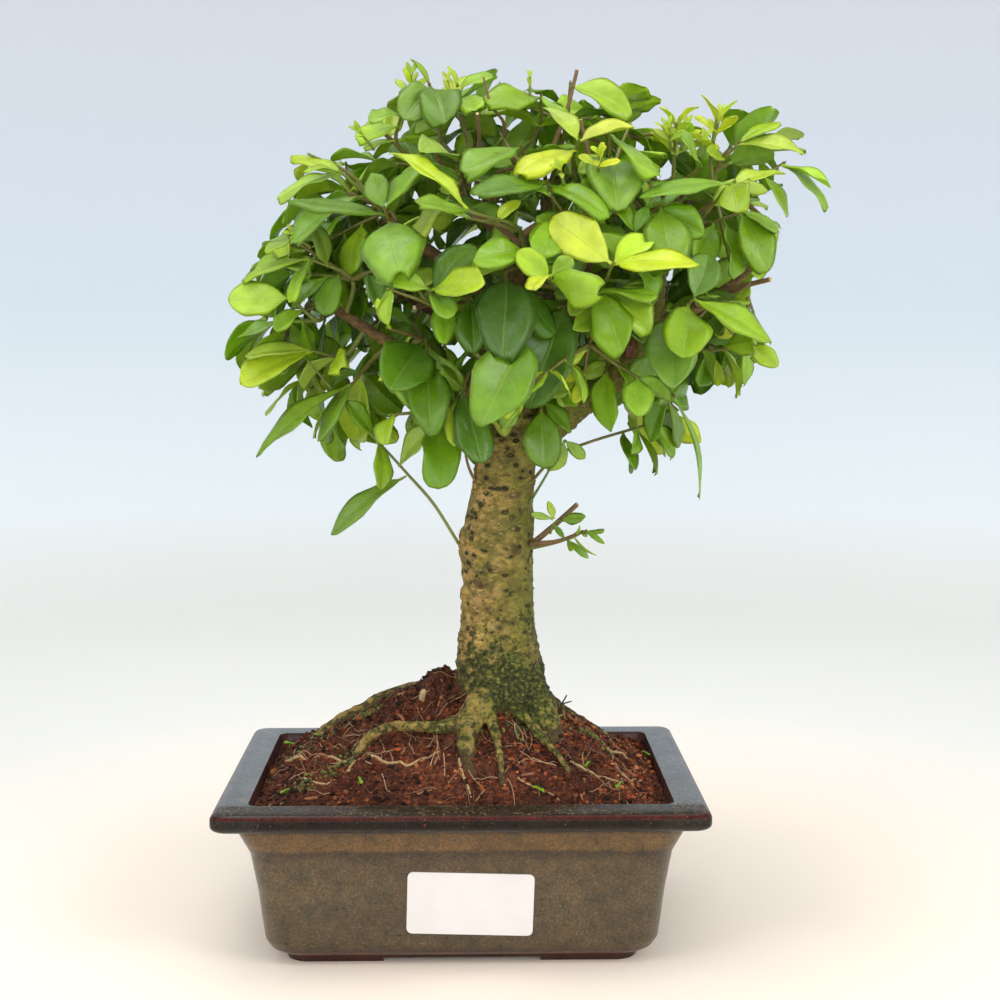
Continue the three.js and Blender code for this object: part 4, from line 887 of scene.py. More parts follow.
def rounded_rectangle(half_x, half_y, radius, z, count=CORNER_POINTS):
    """Level ring in the shape of a rectangle with round corners."""
    ring = []
    for corner in range(4):
        side_x = 1 if corner in (0, 3) else -1
        side_y = 1 if corner < 2 else -1
        for i in range(count):
            angle = math.pi / 2 * (corner + i / (count - 1))
            x = side_x * (half_x - radius) + radius * math.cos(angle)
            y = side_y * (half_y - radius) + radius * math.sin(angle)
            ring.append((x, y, z))
    return ring


def soft_profile(rows, soft, steps=4):
    """The same profile with every corner between its first and last row turned into a small bend."""
    rows = [np.array(row, float) for row in rows]
    made = [rows[0]]
    for before, row, after in zip(rows, rows[1:], rows[2:]):
        back = before - row
        on = after - row
        start = row + back * min(soft / np.hypot(back[0], back[1]), 0.45)
        end = row + on * min(soft / np.hypot(on[0], on[1]), 0.45)
        for t in np.linspace(0, 1, steps):
            made.append(start * (1 - t) ** 2 + 2 * row * t * (1 - t) + end * t * t)
    made.append(rows[-1])
    return made


def inset_ring(row):
    """Ring of the pot for a row of how far in from the rim's edge, height and corner radius."""
    inset, z, radius = row
    return rounded_rectangle(POT_WIDTH / 2 - inset, POT_DEPTH / 2 - inset, radius, z)


def hidden_cutter(name, points, faces):
    """Object that is only there to be cut out of another one."""
    made = mesh_object(name, points, faces)
    made.hide_render = True
    return made


def block(width, depth, height):
    """Points and faces of a block round the origin."""
    return loft([
        [(x * width / 2, y * depth / 2, z) for x, y in ((1, 1), (-1, 1), (-1, -1), (1, -1))]
        for z in (-height / 2, height / 2)
    ])


def cut(made, cutters):
    """Takes the cutters' room out of an object."""
    for cutter in cutters:
        modifier = made.modifiers.new("cut", "BOOLEAN")
        modifier.operation = "DIFFERENCE"
        modifier.solver = "EXACT"
        modifier.object = cutter
    settle(made)
    for cutter in cutters:
        bpy.data.objects.remove(cutter)


outside = loft([inset_ring(row) for row in soft_profile(POT_OUTSIDE, 0.9)])
inside = loft([inset_ring(row) for row in soft_profile(POT_INSIDE[::-1], 1.2)])
pot = mesh_object("pot_glazed", *outside)
foot_inset = POT_OUTSIDE[0][0] + 6
cutters = [
    hidden_cutter("cut_hollow", *inside),
    hidden_cutter("cut_recess", *loft([
        inset_ring((foot_inset + 1, -1, 5)), inset_ring((foot_inset + 1.6, FLOOR_UNDERSIDE - 0.8, 5)),
        inset_ring((foot_inset + 2.4, FLOOR_UNDERSIDE, 5)),
    ])),
    hidden_cutter("cut_notch_long", *block(FOOT_NOTCH_LENGTH, POT_DEPTH + 20, 2 * FOOT_NOTCH_HEIGHT)),
    hidden_cutter("cut_notch_deep", *block(POT_WIDTH + 20, FOOT_NOTCH_LENGTH * 0.6, 2 * FOOT_NOTCH_HEIGHT)),
]
for side in (-1, 1):
    angles = 2 * math.pi * np.arange(DRAIN_SIDES) / DRAIN_SIDES
    drain_x = side * DRAIN_X + DRAIN_RADIUS * np.cos(angles)
    drain_y = DRAIN_RADIUS * np.sin(angles)
    rings = [np.c_[drain_x, drain_y, np.full(DRAIN_SIDES, z)] for z in (-2, FLOOR_TOP + 5)]
    cutters.append(hidden_cutter(f"cut_drain_{'left' if side < 0 else 'right'}", *loft(rings)))
cut(pot, cutters)
pot.data.polygons.foreach_set("use_smooth", [True] * len(pot.data.polygons))
pot.data.set_sharp_from_angle(angle=math.radians(40))

# Glaze: bands of brown up the walls, a red-brown lip and a slate-grey top, all with specks and pits
glaze = Shading("glaze")
z_mm = glaze.axis(glaze.scaled(), "Z")
height = glaze.times(z_mm, 1 / POT_HEIGHT)
waver = glaze.times(glaze.minus(glaze.noise(9, 3), 0.5), 0.035)
band_height = glaze.plus(height, waver)
walls = glaze.ramp(band_height, [
    (0.0, srgb(48, 22, 15)), (0.045, srgb(60, 30, 20)), (0.058, srgb(122, 62, 32)),
    (0.085, srgb(56, 40, 28)), (0.13, srgb(74, 60, 40)), (0.45, srgb(80, 66, 44)),
    (0.66, srgb(78, 62, 40)), (0.72, srgb(58, 44, 28)), (0.745, srgb(98, 71, 36)),
    (0.84, srgb(92, 66, 34)), (0.865, srgb(50, 40, 28)), (0.88, srgb(30, 24, 19)),
    (1.0, srgb(36, 27, 20)),
])
lip = glaze.ramp(height, [
    (0.962, (0.0, 0.0, 0.0)), (0.974, (1.0, 1.0, 1.0)), (0.987, (1.0, 1.0, 1.0)),
    (0.993, (0.0, 0.0, 0.0)),
])
lip = glaze.times(lip, glaze.ramp(glaze.noise(5, 3), [(0.3, 0.45), (0.55, 1.0)]))
# Zones towards the left and right corners of the walls turn darker blue-grey: glaze pooling at the corners,
# with painted shade and reflection.
corner = glaze.minus(glaze.axis(glaze.place, "X"), float(POT_CENTRE[0]))
corner = glaze.times(corner, 1 / (POT_WIDTH / 2 * MM))
corner = glaze.ramp(glaze.math("ABSOLUTE", corner), [(0.76, 0.0), (0.86, 0.3)])
walls = glaze.mix(corner, walls, srgb(60, 60, 54))
coloured = glaze.mix(lip, walls, srgb(70, 25, 18))
top = glaze.ramp(height, [(0.990, (0.0, 0.0, 0.0)), (0.9965, (1.0, 1.0, 1.0))])
top_colour = glaze.ramp(glaze.noise(12, 5), [
    (0.3, srgb(44, 43, 40)), (0.5, srgb(56, 60, 62)), (0.68, srgb(72, 76, 76)),
])
# The front strip of the rim's top is darkened to brown: painted shade and reflection of the darker tree and
# soil.
front = glaze.minus(float(POT_CENTRE[1]), glaze.axis(glaze.place, "Y"))
front = glaze.ramp(glaze.times(front, 1 / (POT_DEPTH / 2 * MM)), [(0.79, 0.0), (0.83, 1.0)])
top_colour = glaze.cover(top_colour, srgb(50, 38, 26), front, 0.85)
tan_speck = glaze.ramp(glaze.cells(1.6), [(0.2, 1.0), (0.4, 0.0)])
edge_wear = glaze.ramp(glaze.noise(10, 4), [(0.38, 0.25), (0.58, 0.95)])
top_colour = glaze.cover(top_colour, srgb(132, 112, 78), tan_speck, edge_wear)
coloured = glaze.mix(top, coloured, top_colour)
mottle = glaze.ramp(glaze.noise(1.0, 5, roughness=0.8), [(0.36, 0.4), (0.5, 0.95), (0.64, 1.75)])
coloured = glaze.shaded(coloured, mottle, 0.9)
grain = glaze.noise(2.6, 4, roughness=0.7)
grain = glaze.ramp(grain, [(0.36, (1.06, 0.98, 0.9)), (0.62, (0.9, 1.03, 1.06))])
coloured = glaze.shaded(coloured, grain, 0.8)
blotches = glaze.ramp(glaze.noise(6, 4), [(0.38, (0.78, 0.8, 0.84)), (0.62, (1.18, 1.13, 1.06))])
coloured = glaze.shaded(coloured, blotches, 0.85)
cloud = glaze.ramp(glaze.noise(24, 4), [(0.35, 0.72), (0.65, 1.2)])
coloured = glaze.shaded(coloured, cloud, 0.6)
speck = glaze.ramp(glaze.cells(1.7), [(0.06, 1.0), (0.16, 0.0)])
speck = glaze.times(speck, glaze.ramp(glaze.noise(7, 2), [(0.5, 0.0), (0.62, 0.75)]))
coloured = glaze.mix(speck, coloured, srgb(140, 120, 92))
salt = glaze.ramp(glaze.cells(1.15), [(0.1, 0.6), (0.24, 0.0)])
salt = glaze.times(salt, glaze.ramp(glaze.noise(2.2, 3), [(0.42, 0.0), (0.6, 1.0)]))
salty = glaze.ramp(height, [(0.05, 0.0), (0.1, 1.0), (0.7, 1.0), (0.75, 0.3)])
coloured = glaze.cover(coloured, srgb(150, 130, 100), salt, salty)
rust = glaze.ramp(glaze.cells(9.0), [(0.03, 1.0), (0.07, 0.0)])
rust = glaze.times(rust, glaze.ramp(glaze.noise(30, 1), [(0.52, 0.0), (0.6, 0.8)]))
coloured = glaze.mix(rust, coloured, srgb(124, 62, 34))
pits = glaze.noise(1.1, 2)
ripple = glaze.noise(13, 2)
uneven = glaze.plus(glaze.times(pits, 0.18), ripple)
low_edge = glaze.ramp(height, [(0.9, 0.0), (0.93, 1.0), (0.985, 1.0), (0.993, 0.0)])
dull = glaze.math("MAXIMUM", low_edge, glaze.times(front, top))
shine = glaze.ramp(dull, [(0.0, 0.42), (1.0, 0.1)])
level_top = glaze.minus(top, glaze.times(front, top))
shine = glaze.plus(shine, glaze.times(level_top, 0.3))
glaze.set(
    Base_Color=coloured,
    Roughness=glaze.ramp(glaze.noise(6, 3), [(0.3, 0.26), (0.7, 0.4)]),
    Specular_IOR_Level=shine,
    Coat_Weight=glaze.times(shine, 0.4),
    Coat_Roughness=0.14,
    Normal=glaze.bump(uneven, 0.5, 0.35),
)

# The hollow has a redder glaze of its own
inner_shades = [(0.35, srgb(58, 34, 28)), (0.65, srgb(86, 44, 38))]
inner_glaze = simple_look("glaze_inside", (5, 4), inner_shades, (4, 3), (0.3, 0.5), (3, 3), (0.4, 0.4))
piece(pot, glaze.material, "pot_glaze", ["pot"])
pot.data.materials.append(inner_glaze)
pot_places = (np.array([p.center for p in pot.data.polygons]) - POT_CENTRE) / MM
pot_normals = np.array([p.normal for p in pot.data.polygons])
level_way = pot_places[:, :2] / np.maximum(np.hypot(pot_places[:, 0], pot_places[:, 1]), 1e-6)[:, None]
outwards = (pot_normals[:, :2] * level_way).sum(axis=1)
within = (outwards < -0.3) | ((pot_normals[:, 2] > 0.5) & (pot_places[:, 2] < 15))
within = within & (pot_places[:, 2] > FLOOR_TOP - 0.5) & (pot_places[:, 2] < POT_HEIGHT - 0.2)
pot.data.polygons.foreach_set("material_index", within.astype(np.int32))

# Label: a thin sheet of paper with round corners that leans back with the pot's wall
(low_inset, low_z, _), (high_inset, high_z, _) = POT_OUTSIDE[4], POT_OUTSIDE[5]
lean = math.atan2(low_inset - high_inset, high_z - low_z)
wall_inset = low_inset + (high_inset - low_inset) * (LABEL_Z - low_z) / (high_z - low_z)
label_rings = []
label_edge = np.array(rounded_rectangle(LABEL_WIDTH / 2, LABEL_HEIGHT / 2, LABEL_CORNER, 0, 8))
for share, depth in ((0.02, 0), (1, 0), (1, 0.6), (0.995, 1), (0.02, 1)):
    ring = label_edge * share
    ring[:, 2] = depth * LABEL_THICKNESS
    label_rings.append(ring)
label_points, label_faces = loft(label_rings)
cos_t, sin_t = math.cos(LABEL_TURN), math.sin(LABEL_TURN)
turned_x = label_points[:, 0] * cos_t - label_points[:, 1] * sin_t
turned_y = label_points[:, 0] * sin_t + label_points[:, 1] * cos_t
tip_angle = math.pi / 2 + lean
label_place = np.c_[
    turned_x + LABEL_X,
    turned_y * math.cos(tip_angle) - label_points[:, 2] * math.sin(tip_angle)
    - (POT_DEPTH / 2 - wall_inset) - GAP,
    turned_y * math.sin(tip_angle) + label_points[:, 2] * math.cos(tip_angle) + LABEL_Z,
]
label = mesh_object("label_paper_sheet", label_place, label_faces, sharp=30)
paper_shades = [(0.3, srgb(216, 211, 209)), (0.7, srgb(222, 218, 216))]
paper = simple_look("paper", (14, 2), paper_shades, (3, 2), (0.4, 0.5), (0.5, 3), (0.02, 0.5))
piece(label, paper, "label_paper", ["label"])

# Mesh pads over the drain holes keep their own shape
plastic_shades = [(0.3, srgb(24, 27, 26)), (0.7, srgb(38, 41, 39))]
plastic = simple_look("mesh_plastic", (2, 3), plastic_shades, (1, 2), (0.5, 0.65), (0.6, 2), (0.05, 0.4))
for title in ("drain_mesh_left", "drain_mesh_right"):
    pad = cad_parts[title]
    pad.data.materials.clear()
    pad.data.materials.append(plastic)

# Soil


def soil_height(x, y):
    """Height of the soil's surface, for numbers or arrays."""
    x = np.asarray(x, float)
    y = np.asarray(y, float)
    wide = np.where(x < MOUND_X, MOUND_LEFT, MOUND_RIGHT)
    mound = MOUND_RISE * np.exp(-(((x - MOUND_X) / wide) ** 2) - ((y - MOUND_Y) / MOUND_DEEP) ** 2)
    inside_share = np.minimum(SOIL_HALF_X - np.abs(x), SOIL_HALF_Y - np.abs(y)) / SOIL_EDGE
    crumble = 0.8 * np.sin(x * 0.31 + 1.7 * np.sin(y * 0.23)) * np.cos(y * 0.29)
    return SOIL_RIM_Z + mound * np.clip(inside_share, 0, 1) ** 0.6 + crumble


def soil_top(x, y):
    """Height of the surface with its lumps and hollows."""
    flat = np.c_[np.ravel(x), np.ravel(y), np.zeros(np.size(x))]
    lumps = 1.7 * smooth_noise(flat, 9, 3) + 1.2 * smooth_noise(flat, 3.6, 5)
    lumps = lumps + 0.6 * smooth_noise(flat, 1.8, 7)
    edge = np.minimum(SOIL_HALF_X + 0.7 - np.abs(flat[:, 0]), SOIL_HALF_Y + 0.7 - np.abs(flat[:, 1]))
    lumps = lumps * np.clip(0.35 + edge / 10, 0, 1)
    clump = 5.5 * np.exp(-(((flat[:, 0] + 11) / 14) ** 2) - ((flat[:, 1] - 7) / 13) ** 2)
    return soil_height(flat[:, 0], flat[:, 1]) + lumps + clump - 0.6


soil_x = SOIL_HALF_X + 0.6
soil_y = SOIL_HALF_Y + 0.6
xs, ys = np.meshgrid(np.linspace(-soil_x, soil_x, SOIL_COLUMNS), np.linspace(-soil_y, soil_y, SOIL_ROWS))
xs = xs.ravel()
ys = ys.ravel()
over_x = np.maximum(np.abs(xs) - (soil_x - SOIL_CORNER), 0)
over_y = np.maximum(np.abs(ys) - (soil_y - SOIL_CORNER), 0)
pull = np.minimum(1, SOIL_CORNER / np.maximum(np.hypot(over_x, over_y), 1e-6))
xs = np.sign(xs) * (np.minimum(np.abs(xs), soil_x - SOIL_CORNER) + over_x * pull)
ys = np.sign(ys) * (np.minimum(np.abs(ys), soil_y - SOIL_CORNER) + over_y * pull)
top_points = np.c_[xs, ys, soil_top(xs, ys)]
grid = np.arange(SOIL_COLUMNS * SOIL_ROWS).reshape(SOIL_ROWS, SOIL_COLUMNS)
soil_faces = [
    [grid[r, c], grid[r, c + 1], grid[r + 1, c + 1], grid[r + 1, c]]
    for r in range(SOIL_ROWS - 1) for c in range(SOIL_COLUMNS - 1)
]
rim_loop = np.concatenate([grid[0, :], grid[1:, -1], grid[-1, -2::-1], grid[-2:0:-1, 0]])
skirt = top_points[rim_loop] * np.array([0.985, 0.98, 1.0])
skirt[:, 2] = SOIL_SIDE_Z
first = len(top_points)
loop_size = len(rim_loop)
for i in range(loop_size):
    j = (i + 1) % loop_size
    soil_faces.append([rim_loop[j], rim_loop[i], first + i, first + j])
soil_faces.append([first + i for i in range(loop_size)][::-1])
soil_body = mesh_object("soil_bed", np.r_[top_points, skirt], soil_faces)

earth = Shading("earth")
fine = earth.noise(1.6, 6, roughness=0.7)
earth_colour = earth.ramp(fine, [
    (0.25, srgb(30, 15, 10)), (0.45, srgb(78, 40, 26)), (0.6, srgb(122, 66, 40)),
    (0.78, srgb(168, 104, 66)),
])
patch = earth.ramp(earth.noise(16, 3), [(0.38, 0.42), (0.62, 1.0)])
earth.set(
    Base_Color=earth.shaded(earth_colour, patch),
    Roughness=earth.ramp(earth.noise(2.5, 3), [(0.3, 0.8), (0.7, 0.97)]),
    Specular_IOR_Level=0.25,
    Normal=earth.bump(fine, 0.9, 0.9),
)
piece(soil_body, earth.material, "soil", ["soil"])

# Crumbs of soil: small lumps of all sizes on the surface
ICOSAHEDRON = []
golden = (1 + 5 ** 0.5) / 2
for a in (-1, 1):
    for b in (-golden, golden):
        ICOSAHEDRON += [(0, a, b), (a, b, 0), (b, 0, a)]
ICOSAHEDRON = np.array(ICOSAHEDRON) / math.hypot(1, golden)
ICOSAHEDRON_FACES = []
for i in range(12):
    for j in range(i + 1, 12):
        for k in range(j + 1, 12):
            sides = [np.linalg.norm(ICOSAHEDRON[a] - ICOSAHEDRON[b]) for a, b in ((i, j), (j, k), (i, k))]
            if max(sides) < 1.2:
                a, b, c = ICOSAHEDRON[[i, j, k]]
                out = np.cross(b - a, c - a).dot(a + b + c) > 0
                ICOSAHEDRON_FACES.append([i, j, k] if out else [i, k, j])

CRUMB_COLOURS = [
    (104, 52, 32), (132, 68, 40), (158, 86, 50), (74, 38, 24), (50, 26, 18), (120, 66, 42),
    (170, 108, 68), (40, 22, 16), (112, 54, 34), (92, 46, 30),
]
random_soil = np.random.default_rng(11)
crumbs = Pile()
crumb_x = random_soil.uniform(-SOIL_HALF_X + 1, SOIL_HALF_X - 1, CRUMBS)
crumb_y = random_soil.uniform(-SOIL_HALF_Y + 1, SOIL_HALF_Y - 1, CRUMBS)
crumb_drift = smooth_noise(np.c_[crumb_x, crumb_y, np.full(CRUMBS, 5)], 14, 31)
for x, y, ground, drift in zip(crumb_x, crumb_y, soil_top(crumb_x, crumb_y), crumb_drift):
    if math.hypot(x - CRUMB_FREE_X, y) < CRUMB_FREE_RADIUS:
        continue
    size = 0.36 + 1.0 * random_soil.random() ** 3.4
    shape = ICOSAHEDRON * size * random_soil.uniform(0.4, 1.5, 3)
    shape = shape * (1 + 0.3 * random_soil.uniform(-1, 1, (12, 1)))
    swing = random_soil.uniform(0, 2 * math.pi)
    turned = np.c_[
        shape[:, 0] * math.cos(swing) - shape[:, 1] * math.sin(swing),
        shape[:, 0] * math.sin(swing) + shape[:, 1] * math.cos(swing),
        shape[:, 2] * 0.8,
    ]
    tone = np.array(srgb(*CRUMB_COLOURS[random_soil.integers(len(CRUMB_COLOURS))]))
    tone = tone * random_soil.uniform(0.45, 1.1) * (0.84 + 0.5 * drift + 0.0055 * x)
    tone = tone * (1.12, 1.0, 0.8)
    crumbs.add(turned + (x, y, ground + size * 0.25), ICOSAHEDRON_FACES, tone)
crumb_piece = crumbs.build("soil_crumbs", smooth=False)
crumb_look = simple_look(
    "crumbs", (0.7, 4), [(0.3, 0.6), (0.7, 1.3)], (1, 2), (0.8, 0.97), (0.5, 3), (0.25, 0.9), tinted=True,
    Specular_IOR_Level=0.25,
)
piece(crumb_piece, crumb_look, "soil")

# Coir fibres, thin roots, dead twigs and stubs that lie on the soil: x and y along each, and how thick
SURFACE_ROOTS = [
    ([(-45, -36), (-44, -31), (-40, -28)], 0.8), ([(-1, -38), (1, -44), (4, -51)], 0.7),
    ([(43, -32), (51, -34), (62, -33)], 0.7), ([(62, -30), (70, -22), (75, -12)], 0.6),
    ([(-38, -30), (-30, -35), (-22, -39), (-14, -37), (-6, -33)], 0.8),
    ([(-72, -8), (-64, -16), (-54, -20), (-46, -27)], 0.9), ([(-70, -30), (-62, -36), (-50, -39)], 0.7),
    ([(22, -44), (30, -46), (38, -49)], 0.5), ([(58, -8), (66, -4), (74, -4)], 0.6),
    ([(-66, 20), (-56, 26), (-44, 30)], 0.8), ([(30, 34), (44, 38), (58, 36)], 0.8),
    ([(-20, 44), (-8, 47), (6, 50)], 0.6),
]


def laid_tube(pile, path, radius, lift, colour, sides, seed):
    """A thin tube that lies on the soil along a path of x and y."""
    path = np.asarray(path, float)
    shares = np.linspace(0, 1, 3 * len(path))
    line = np.array([curve_point(np.c_[path, np.zeros(len(path))], t) for t in shares])
    line[:, 2] = seed
    sway = smooth_noise(line, 4.0, seed)
    line[:, 2] = soil_top(line[:, 0], line[:, 1]) + lift + 0.5 * sway
    line[:, 0] += 0.6 * sway
    points, faces = tube(np.c_[line, radius * (1 - 0.45 * shares)], sides, 1)
    pile.add(points, faces, colour)


def soil_place(chance):
    """x and y of a place on the soil, and a direction there."""
    x = chance.uniform(-SOIL_HALF_X + 8, SOIL_HALF_X - 8)
    y = chance.uniform(-SOIL_HALF_Y + 6, SOIL_HALF_Y - 6)
    return x, y, chance.uniform(0, 2 * math.pi)


litter = Pile()
for number, (path, radius) in enumerate(SURFACE_ROOTS):
    laid_tube(litter, path, radius, 0.2, srgb(172, 140, 96), 7, number)
random_litter = np.random.default_rng(23)
for number in range(FIBRES):
    x, y, swing = soil_place(random_litter)
    length = random_litter.uniform(5, 19)
    bend = random_litter.uniform(-0.6, 0.6)
    path = []
    for t in (0, 0.35, 0.7, 1):
        path.append((
            np.clip(x + length * t * math.cos(swing + bend * t), -SOIL_HALF_X + 1, SOIL_HALF_X - 1),
            np.clip(y + length * t * math.sin(swing + bend * t), -SOIL_HALF_Y + 1, SOIL_HALF_Y - 1),
        ))
    pale = random_litter.random() ** 1.6
    colour = np.array(srgb(96, 56, 34)) * (1 - pale) + np.array(srgb(196, 160, 118)) * pale
    radius = random_litter.uniform(0.12, 0.3)
    laid_tube(litter, path, radius, random_litter.uniform(0.1, 1.0), colour, 4, number)
for number in range(CHIPS):
    x, y, swing = soil_place(random_litter)
    length = random_litter.uniform(2.5, 6)
    path = [(x + length * t * math.cos(swing), y + length * t * math.sin(swing)) for t in (0, 0.5, 1)]
    laid_tube(litter, path, random_litter.uniform(0.5, 0.9), 0.5, srgb(140, 92, 60), 5, number)

# Dead twiglets and cut root ends that stand on the soil
TWIGLETS = [
    [[41, -4, 86, 0.55], [40.5, -6, 92, 0.4], [43, -8, 98, 0.3]],
    [[40.5, -6, 92, 0.4], [37, -8, 95, 0.28]],
    [[40.8, -6.5, 94, 0.35], [45, -8, 95.5, 0.25]],
    [[-15, -8, 98, 0.6], [-16, -10, 103, 0.45], [-14, -10, 106, 0.3]],
    [[-9, -10, 98, 0.5], [-7, -11, 104, 0.3]],
    [[-52, -30, 70, 0.5], [-55, -31, 76, 0.35], [-60, -31, 77, 0.2]],
]
CUT_ROOTS = [
    [[-37, -24, 79, 1.5], [-37.5, -26, 84, 1.4]],
    [[-17, -9, 95, 1.3], [-15.5, -12, 101, 1.1]],
    [[-66, 6, 66, 1.2], [-68, 3, 70, 1.0]],
]
add_tubes(litter, TWIGLETS, 6, 4, 0.1, 0, srgb(66, 46, 30))
add_tubes(litter, CUT_ROOTS, 8, 3, 0.1, 0, srgb(178, 156, 112))

# Moss on the soil: x, y, how far it spreads and how many lumps
MOSS_SPOTS = [
    (53, -5, 6, 50), (58, -9, 4, 24), (38, -12, 5, 34), (-63, -38, 7, 46), (-52, -32, 6, 40),
    (-45, -24, 5, 36), (-55, 2, 8, 60), (-40, 6, 7, 50), (22, -25, 6, 46), (6, -26, 5, 36),
    (32, -16, 6, 40), (-68, -6, 6, 36), (60, 16, 6, 36),
]
for x0, y0, reach, lumps in MOSS_SPOTS:
    spots = random_litter.normal(0, reach * 0.45, (lumps, 2)) + (x0, y0)
    for (x, y), ground in zip(spots, soil_top(spots[:, 0], spots[:, 1])):
        size = random_litter.uniform(0.4, 1.0)
        shade = random_litter.random()
        colour = np.array(srgb(44, 50, 18)) * (1 - shade) + np.array(srgb(112, 116, 44)) * shade
        lump = ICOSAHEDRON * size * (1 + 0.25 * random_litter.uniform(-1, 1, (12, 1)))
        litter.add(lump + (x, y, ground + size * 0.4), ICOSAHEDRON_FACES, colour)
litter_piece = litter.build("soil_fibres_and_fine_roots")
litter_look = simple_look(
    "litter", (0.9, 3), [(0.3, 0.7), (0.7, 1.2)], (1, 2), (0.65, 0.85), (0.4, 2), (0.1, 0.7), tinted=True,
)
piece(litter_piece, litter_look, "soil")

# Wood: trunk, surface roots and branches as overlapping tubes, grown together into one skin


def trunk_rings(sides=48, steps=5):
    """Level rings round the trunk, a little three-sided, turning as they rise."""
    rows = np.array(TRUNK, float)
    levels = np.linspace(0, len(rows) - 1, (len(rows) - 1) * steps + 1)
    rings = []
    for level in levels:
        x, y, z = curve_point(rows[:, :3], level / (len(rows) - 1))
        radius = np.interp(level, range(len(rows)), rows[:, 3])
        angles = 2 * math.pi * np.arange(sides) / sides
        spread = radius * (1 + TRUNK_RIPPLE * np.sin(3 * angles + 0.9 * level))
        rings.append(np.c_[x + spread * np.cos(angles), y + spread * np.sin(angles), np.full(sides, z)])
    return rings


trunk_x, _, trunk_z, trunk_r = np.array(TRUNK, float).T
wood_pile = Pile()
wood_pile.add(*loft(trunk_rings()))
add_tubes(wood_pile, ROOTS.values(), 16, 6, 0.12)
add_tubes(wood_pile, LIMBS.values(), 14, 6, 0.08, 20)
wood = wood_pile.build("trunk_and_branches")
grown = wood.modifiers.new("grown_together", "REMESH")
grown.mode = "VOXEL"
grown.voxel_size = WOOD_VOXEL * MM
softened = wood.modifiers.new("softened", "SMOOTH")
softened.factor = 0.5
softened.iterations = 5
settle(wood)

skin = (vertex_values(wood, "co") - POT_CENTRE) / MM
normals = vertex_values(wood, "normal")

axis_x = np.interp(skin[:, 2], trunk_z, trunk_x)
off_axis = np.hypot(skin[:, 0] - axis_x, skin[:, 1])
trunk_radius = np.interp(skin[:, 2], trunk_z, trunk_r)
on_trunk = np.clip(1.6 - off_axis / np.maximum(trunk_radius, 1), 0, 1) * (skin[:, 2] < TRUNK_TOP_Z)
on_trunk = np.clip(on_trunk * 3, 0, 1)
thick = np.clip(on_trunk + (skin[:, 2] < 110) * 0.7, 0, 1)
limb_right = np.array([row[:3] for row in LIMBS["right"]], float)
near_limb = np.min([
    np.linalg.norm(skin - curve_point(limb_right, t), axis=1) for t in np.linspace(0, 0.8, 30)
], axis=0)
on_limb = np.clip((LIMB_REACH - near_limb) / 4, 0, 1)

stretched = skin * np.array([1.0, 1.0, 0.45])
wrinkled = skin * np.array([0.5, 0.5, 1.8])
lift = 0.9 * smooth_noise(stretched, 9, 1) * thick
lift += 0.45 * smooth_noise(skin, 4.2, 2) * (0.35 + 0.65 * thick)
lift += 0.28 * smooth_noise(wrinkled, 2.2, 3) * (0.3 + 0.7 * thick)
lift += 0.14 * smooth_noise(skin, 1.1, 4)

# Lenticels: small lens-shaped lips across the bark, with a paler middle
lip_mask = np.zeros(len(skin))
core_mask = np.zeros(len(skin))
random_bark = np.random.default_rng(5)
barked = (np.maximum(on_trunk, on_limb) > 0.6) & (skin[:, 2] > LENTICEL_LOW_Z)
candidates = np.flatnonzero(barked & (skin[:, 2] < LENTICEL_HIGH_Z))
for at in random_bark.choice(candidates, LENTICELS, replace=False):
    offset = skin - skin[at]
    near = np.flatnonzero(np.abs(offset).max(axis=1) < LENTICEL_REACH)
    offset = offset[near]
    wide = random_bark.uniform(0.8, 1.7)
    tall = random_bark.uniform(0.45, 0.8)
    tilt = random_bark.uniform(-0.25, 0.25)
    level = np.hypot(offset[:, 0], offset[:, 1])
    rise = offset[:, 2] + tilt * offset[:, 0]
    ring_distance = np.hypot(level / wide, rise / tall)
    lip = np.exp(-((ring_distance - 1) ** 2) / 0.22)
    core = np.exp(-((ring_distance / 0.7) ** 2))
    lift[near] += LENTICEL_RISE * lip
    strength = random_bark.uniform(0.5, 1.0)
    filled = random_bark.random() < 0.5
    lip_mask[near] = np.maximum(lip_mask[near], strength * np.maximum(lip, core * filled))
    core_mask[near] = np.maximum(core_mask[near], core * (not filled))

# Knots: rounded lips round a sunken scar
knot_mask = np.zeros(len(skin))
for x, z, size, rise, pale in KNOTS:
    off_centre = x - float(np.interp(z, trunk_z, trunk_x))
    y = -math.sqrt(max(float(np.interp(z, trunk_z, trunk_r)) ** 2 - off_centre ** 2, 1))
    distance = np.linalg.norm((skin - (x, y, z)) * np.array([0.85, 0.85, 1.2]), axis=1) / size
    lift += rise * np.exp(-((distance - 0.85) ** 2) / 0.18) - 0.6 * rise * np.exp(-((distance / 0.55) ** 2))
    knot_mask += np.exp(-(distance ** 4)) * (0.5 - pale) * 2
    core_mask = np.maximum(core_mask, pale * np.exp(-((distance / 0.7) ** 2)))

# Moss at the foot of the trunk, on the roots and on the far end of the left root, algae on the right side
height_fade = np.exp(-np.clip(skin[:, 2] - SOIL_LINE_Z, 0, None) / 22)
side = np.clip((skin[:, 0] - 10) / 14, -1, 1)
patchy = smooth_noise(skin, 10, 8) * 0.6 + smooth_noise(skin, 3.5, 9) * 0.4
algae = np.clip(0.3 + 0.55 * side + 0.45 * height_fade + 0.6 * patchy, 0, 1) * (0.2 + 0.8 * on_trunk)
algae = np.maximum(algae, np.clip(0.85 + 0.4 * patchy, 0, 1) * on_limb)
on_root = np.clip((off_axis - trunk_radius - 2.5) / 4, 0, 1) * np.clip((112 - skin[:, 2]) / 6, 0, 1)
algae = np.maximum(algae, on_root * np.clip(0.2 + 0.7 * patchy, 0, 1))
moss = np.clip(1.7 * height_fade + 0.03 + 0.35 * patchy - 0.02 * side, 0, 1)
moss = moss * np.clip((146 - skin[:, 2]) / 14, 0, 1)
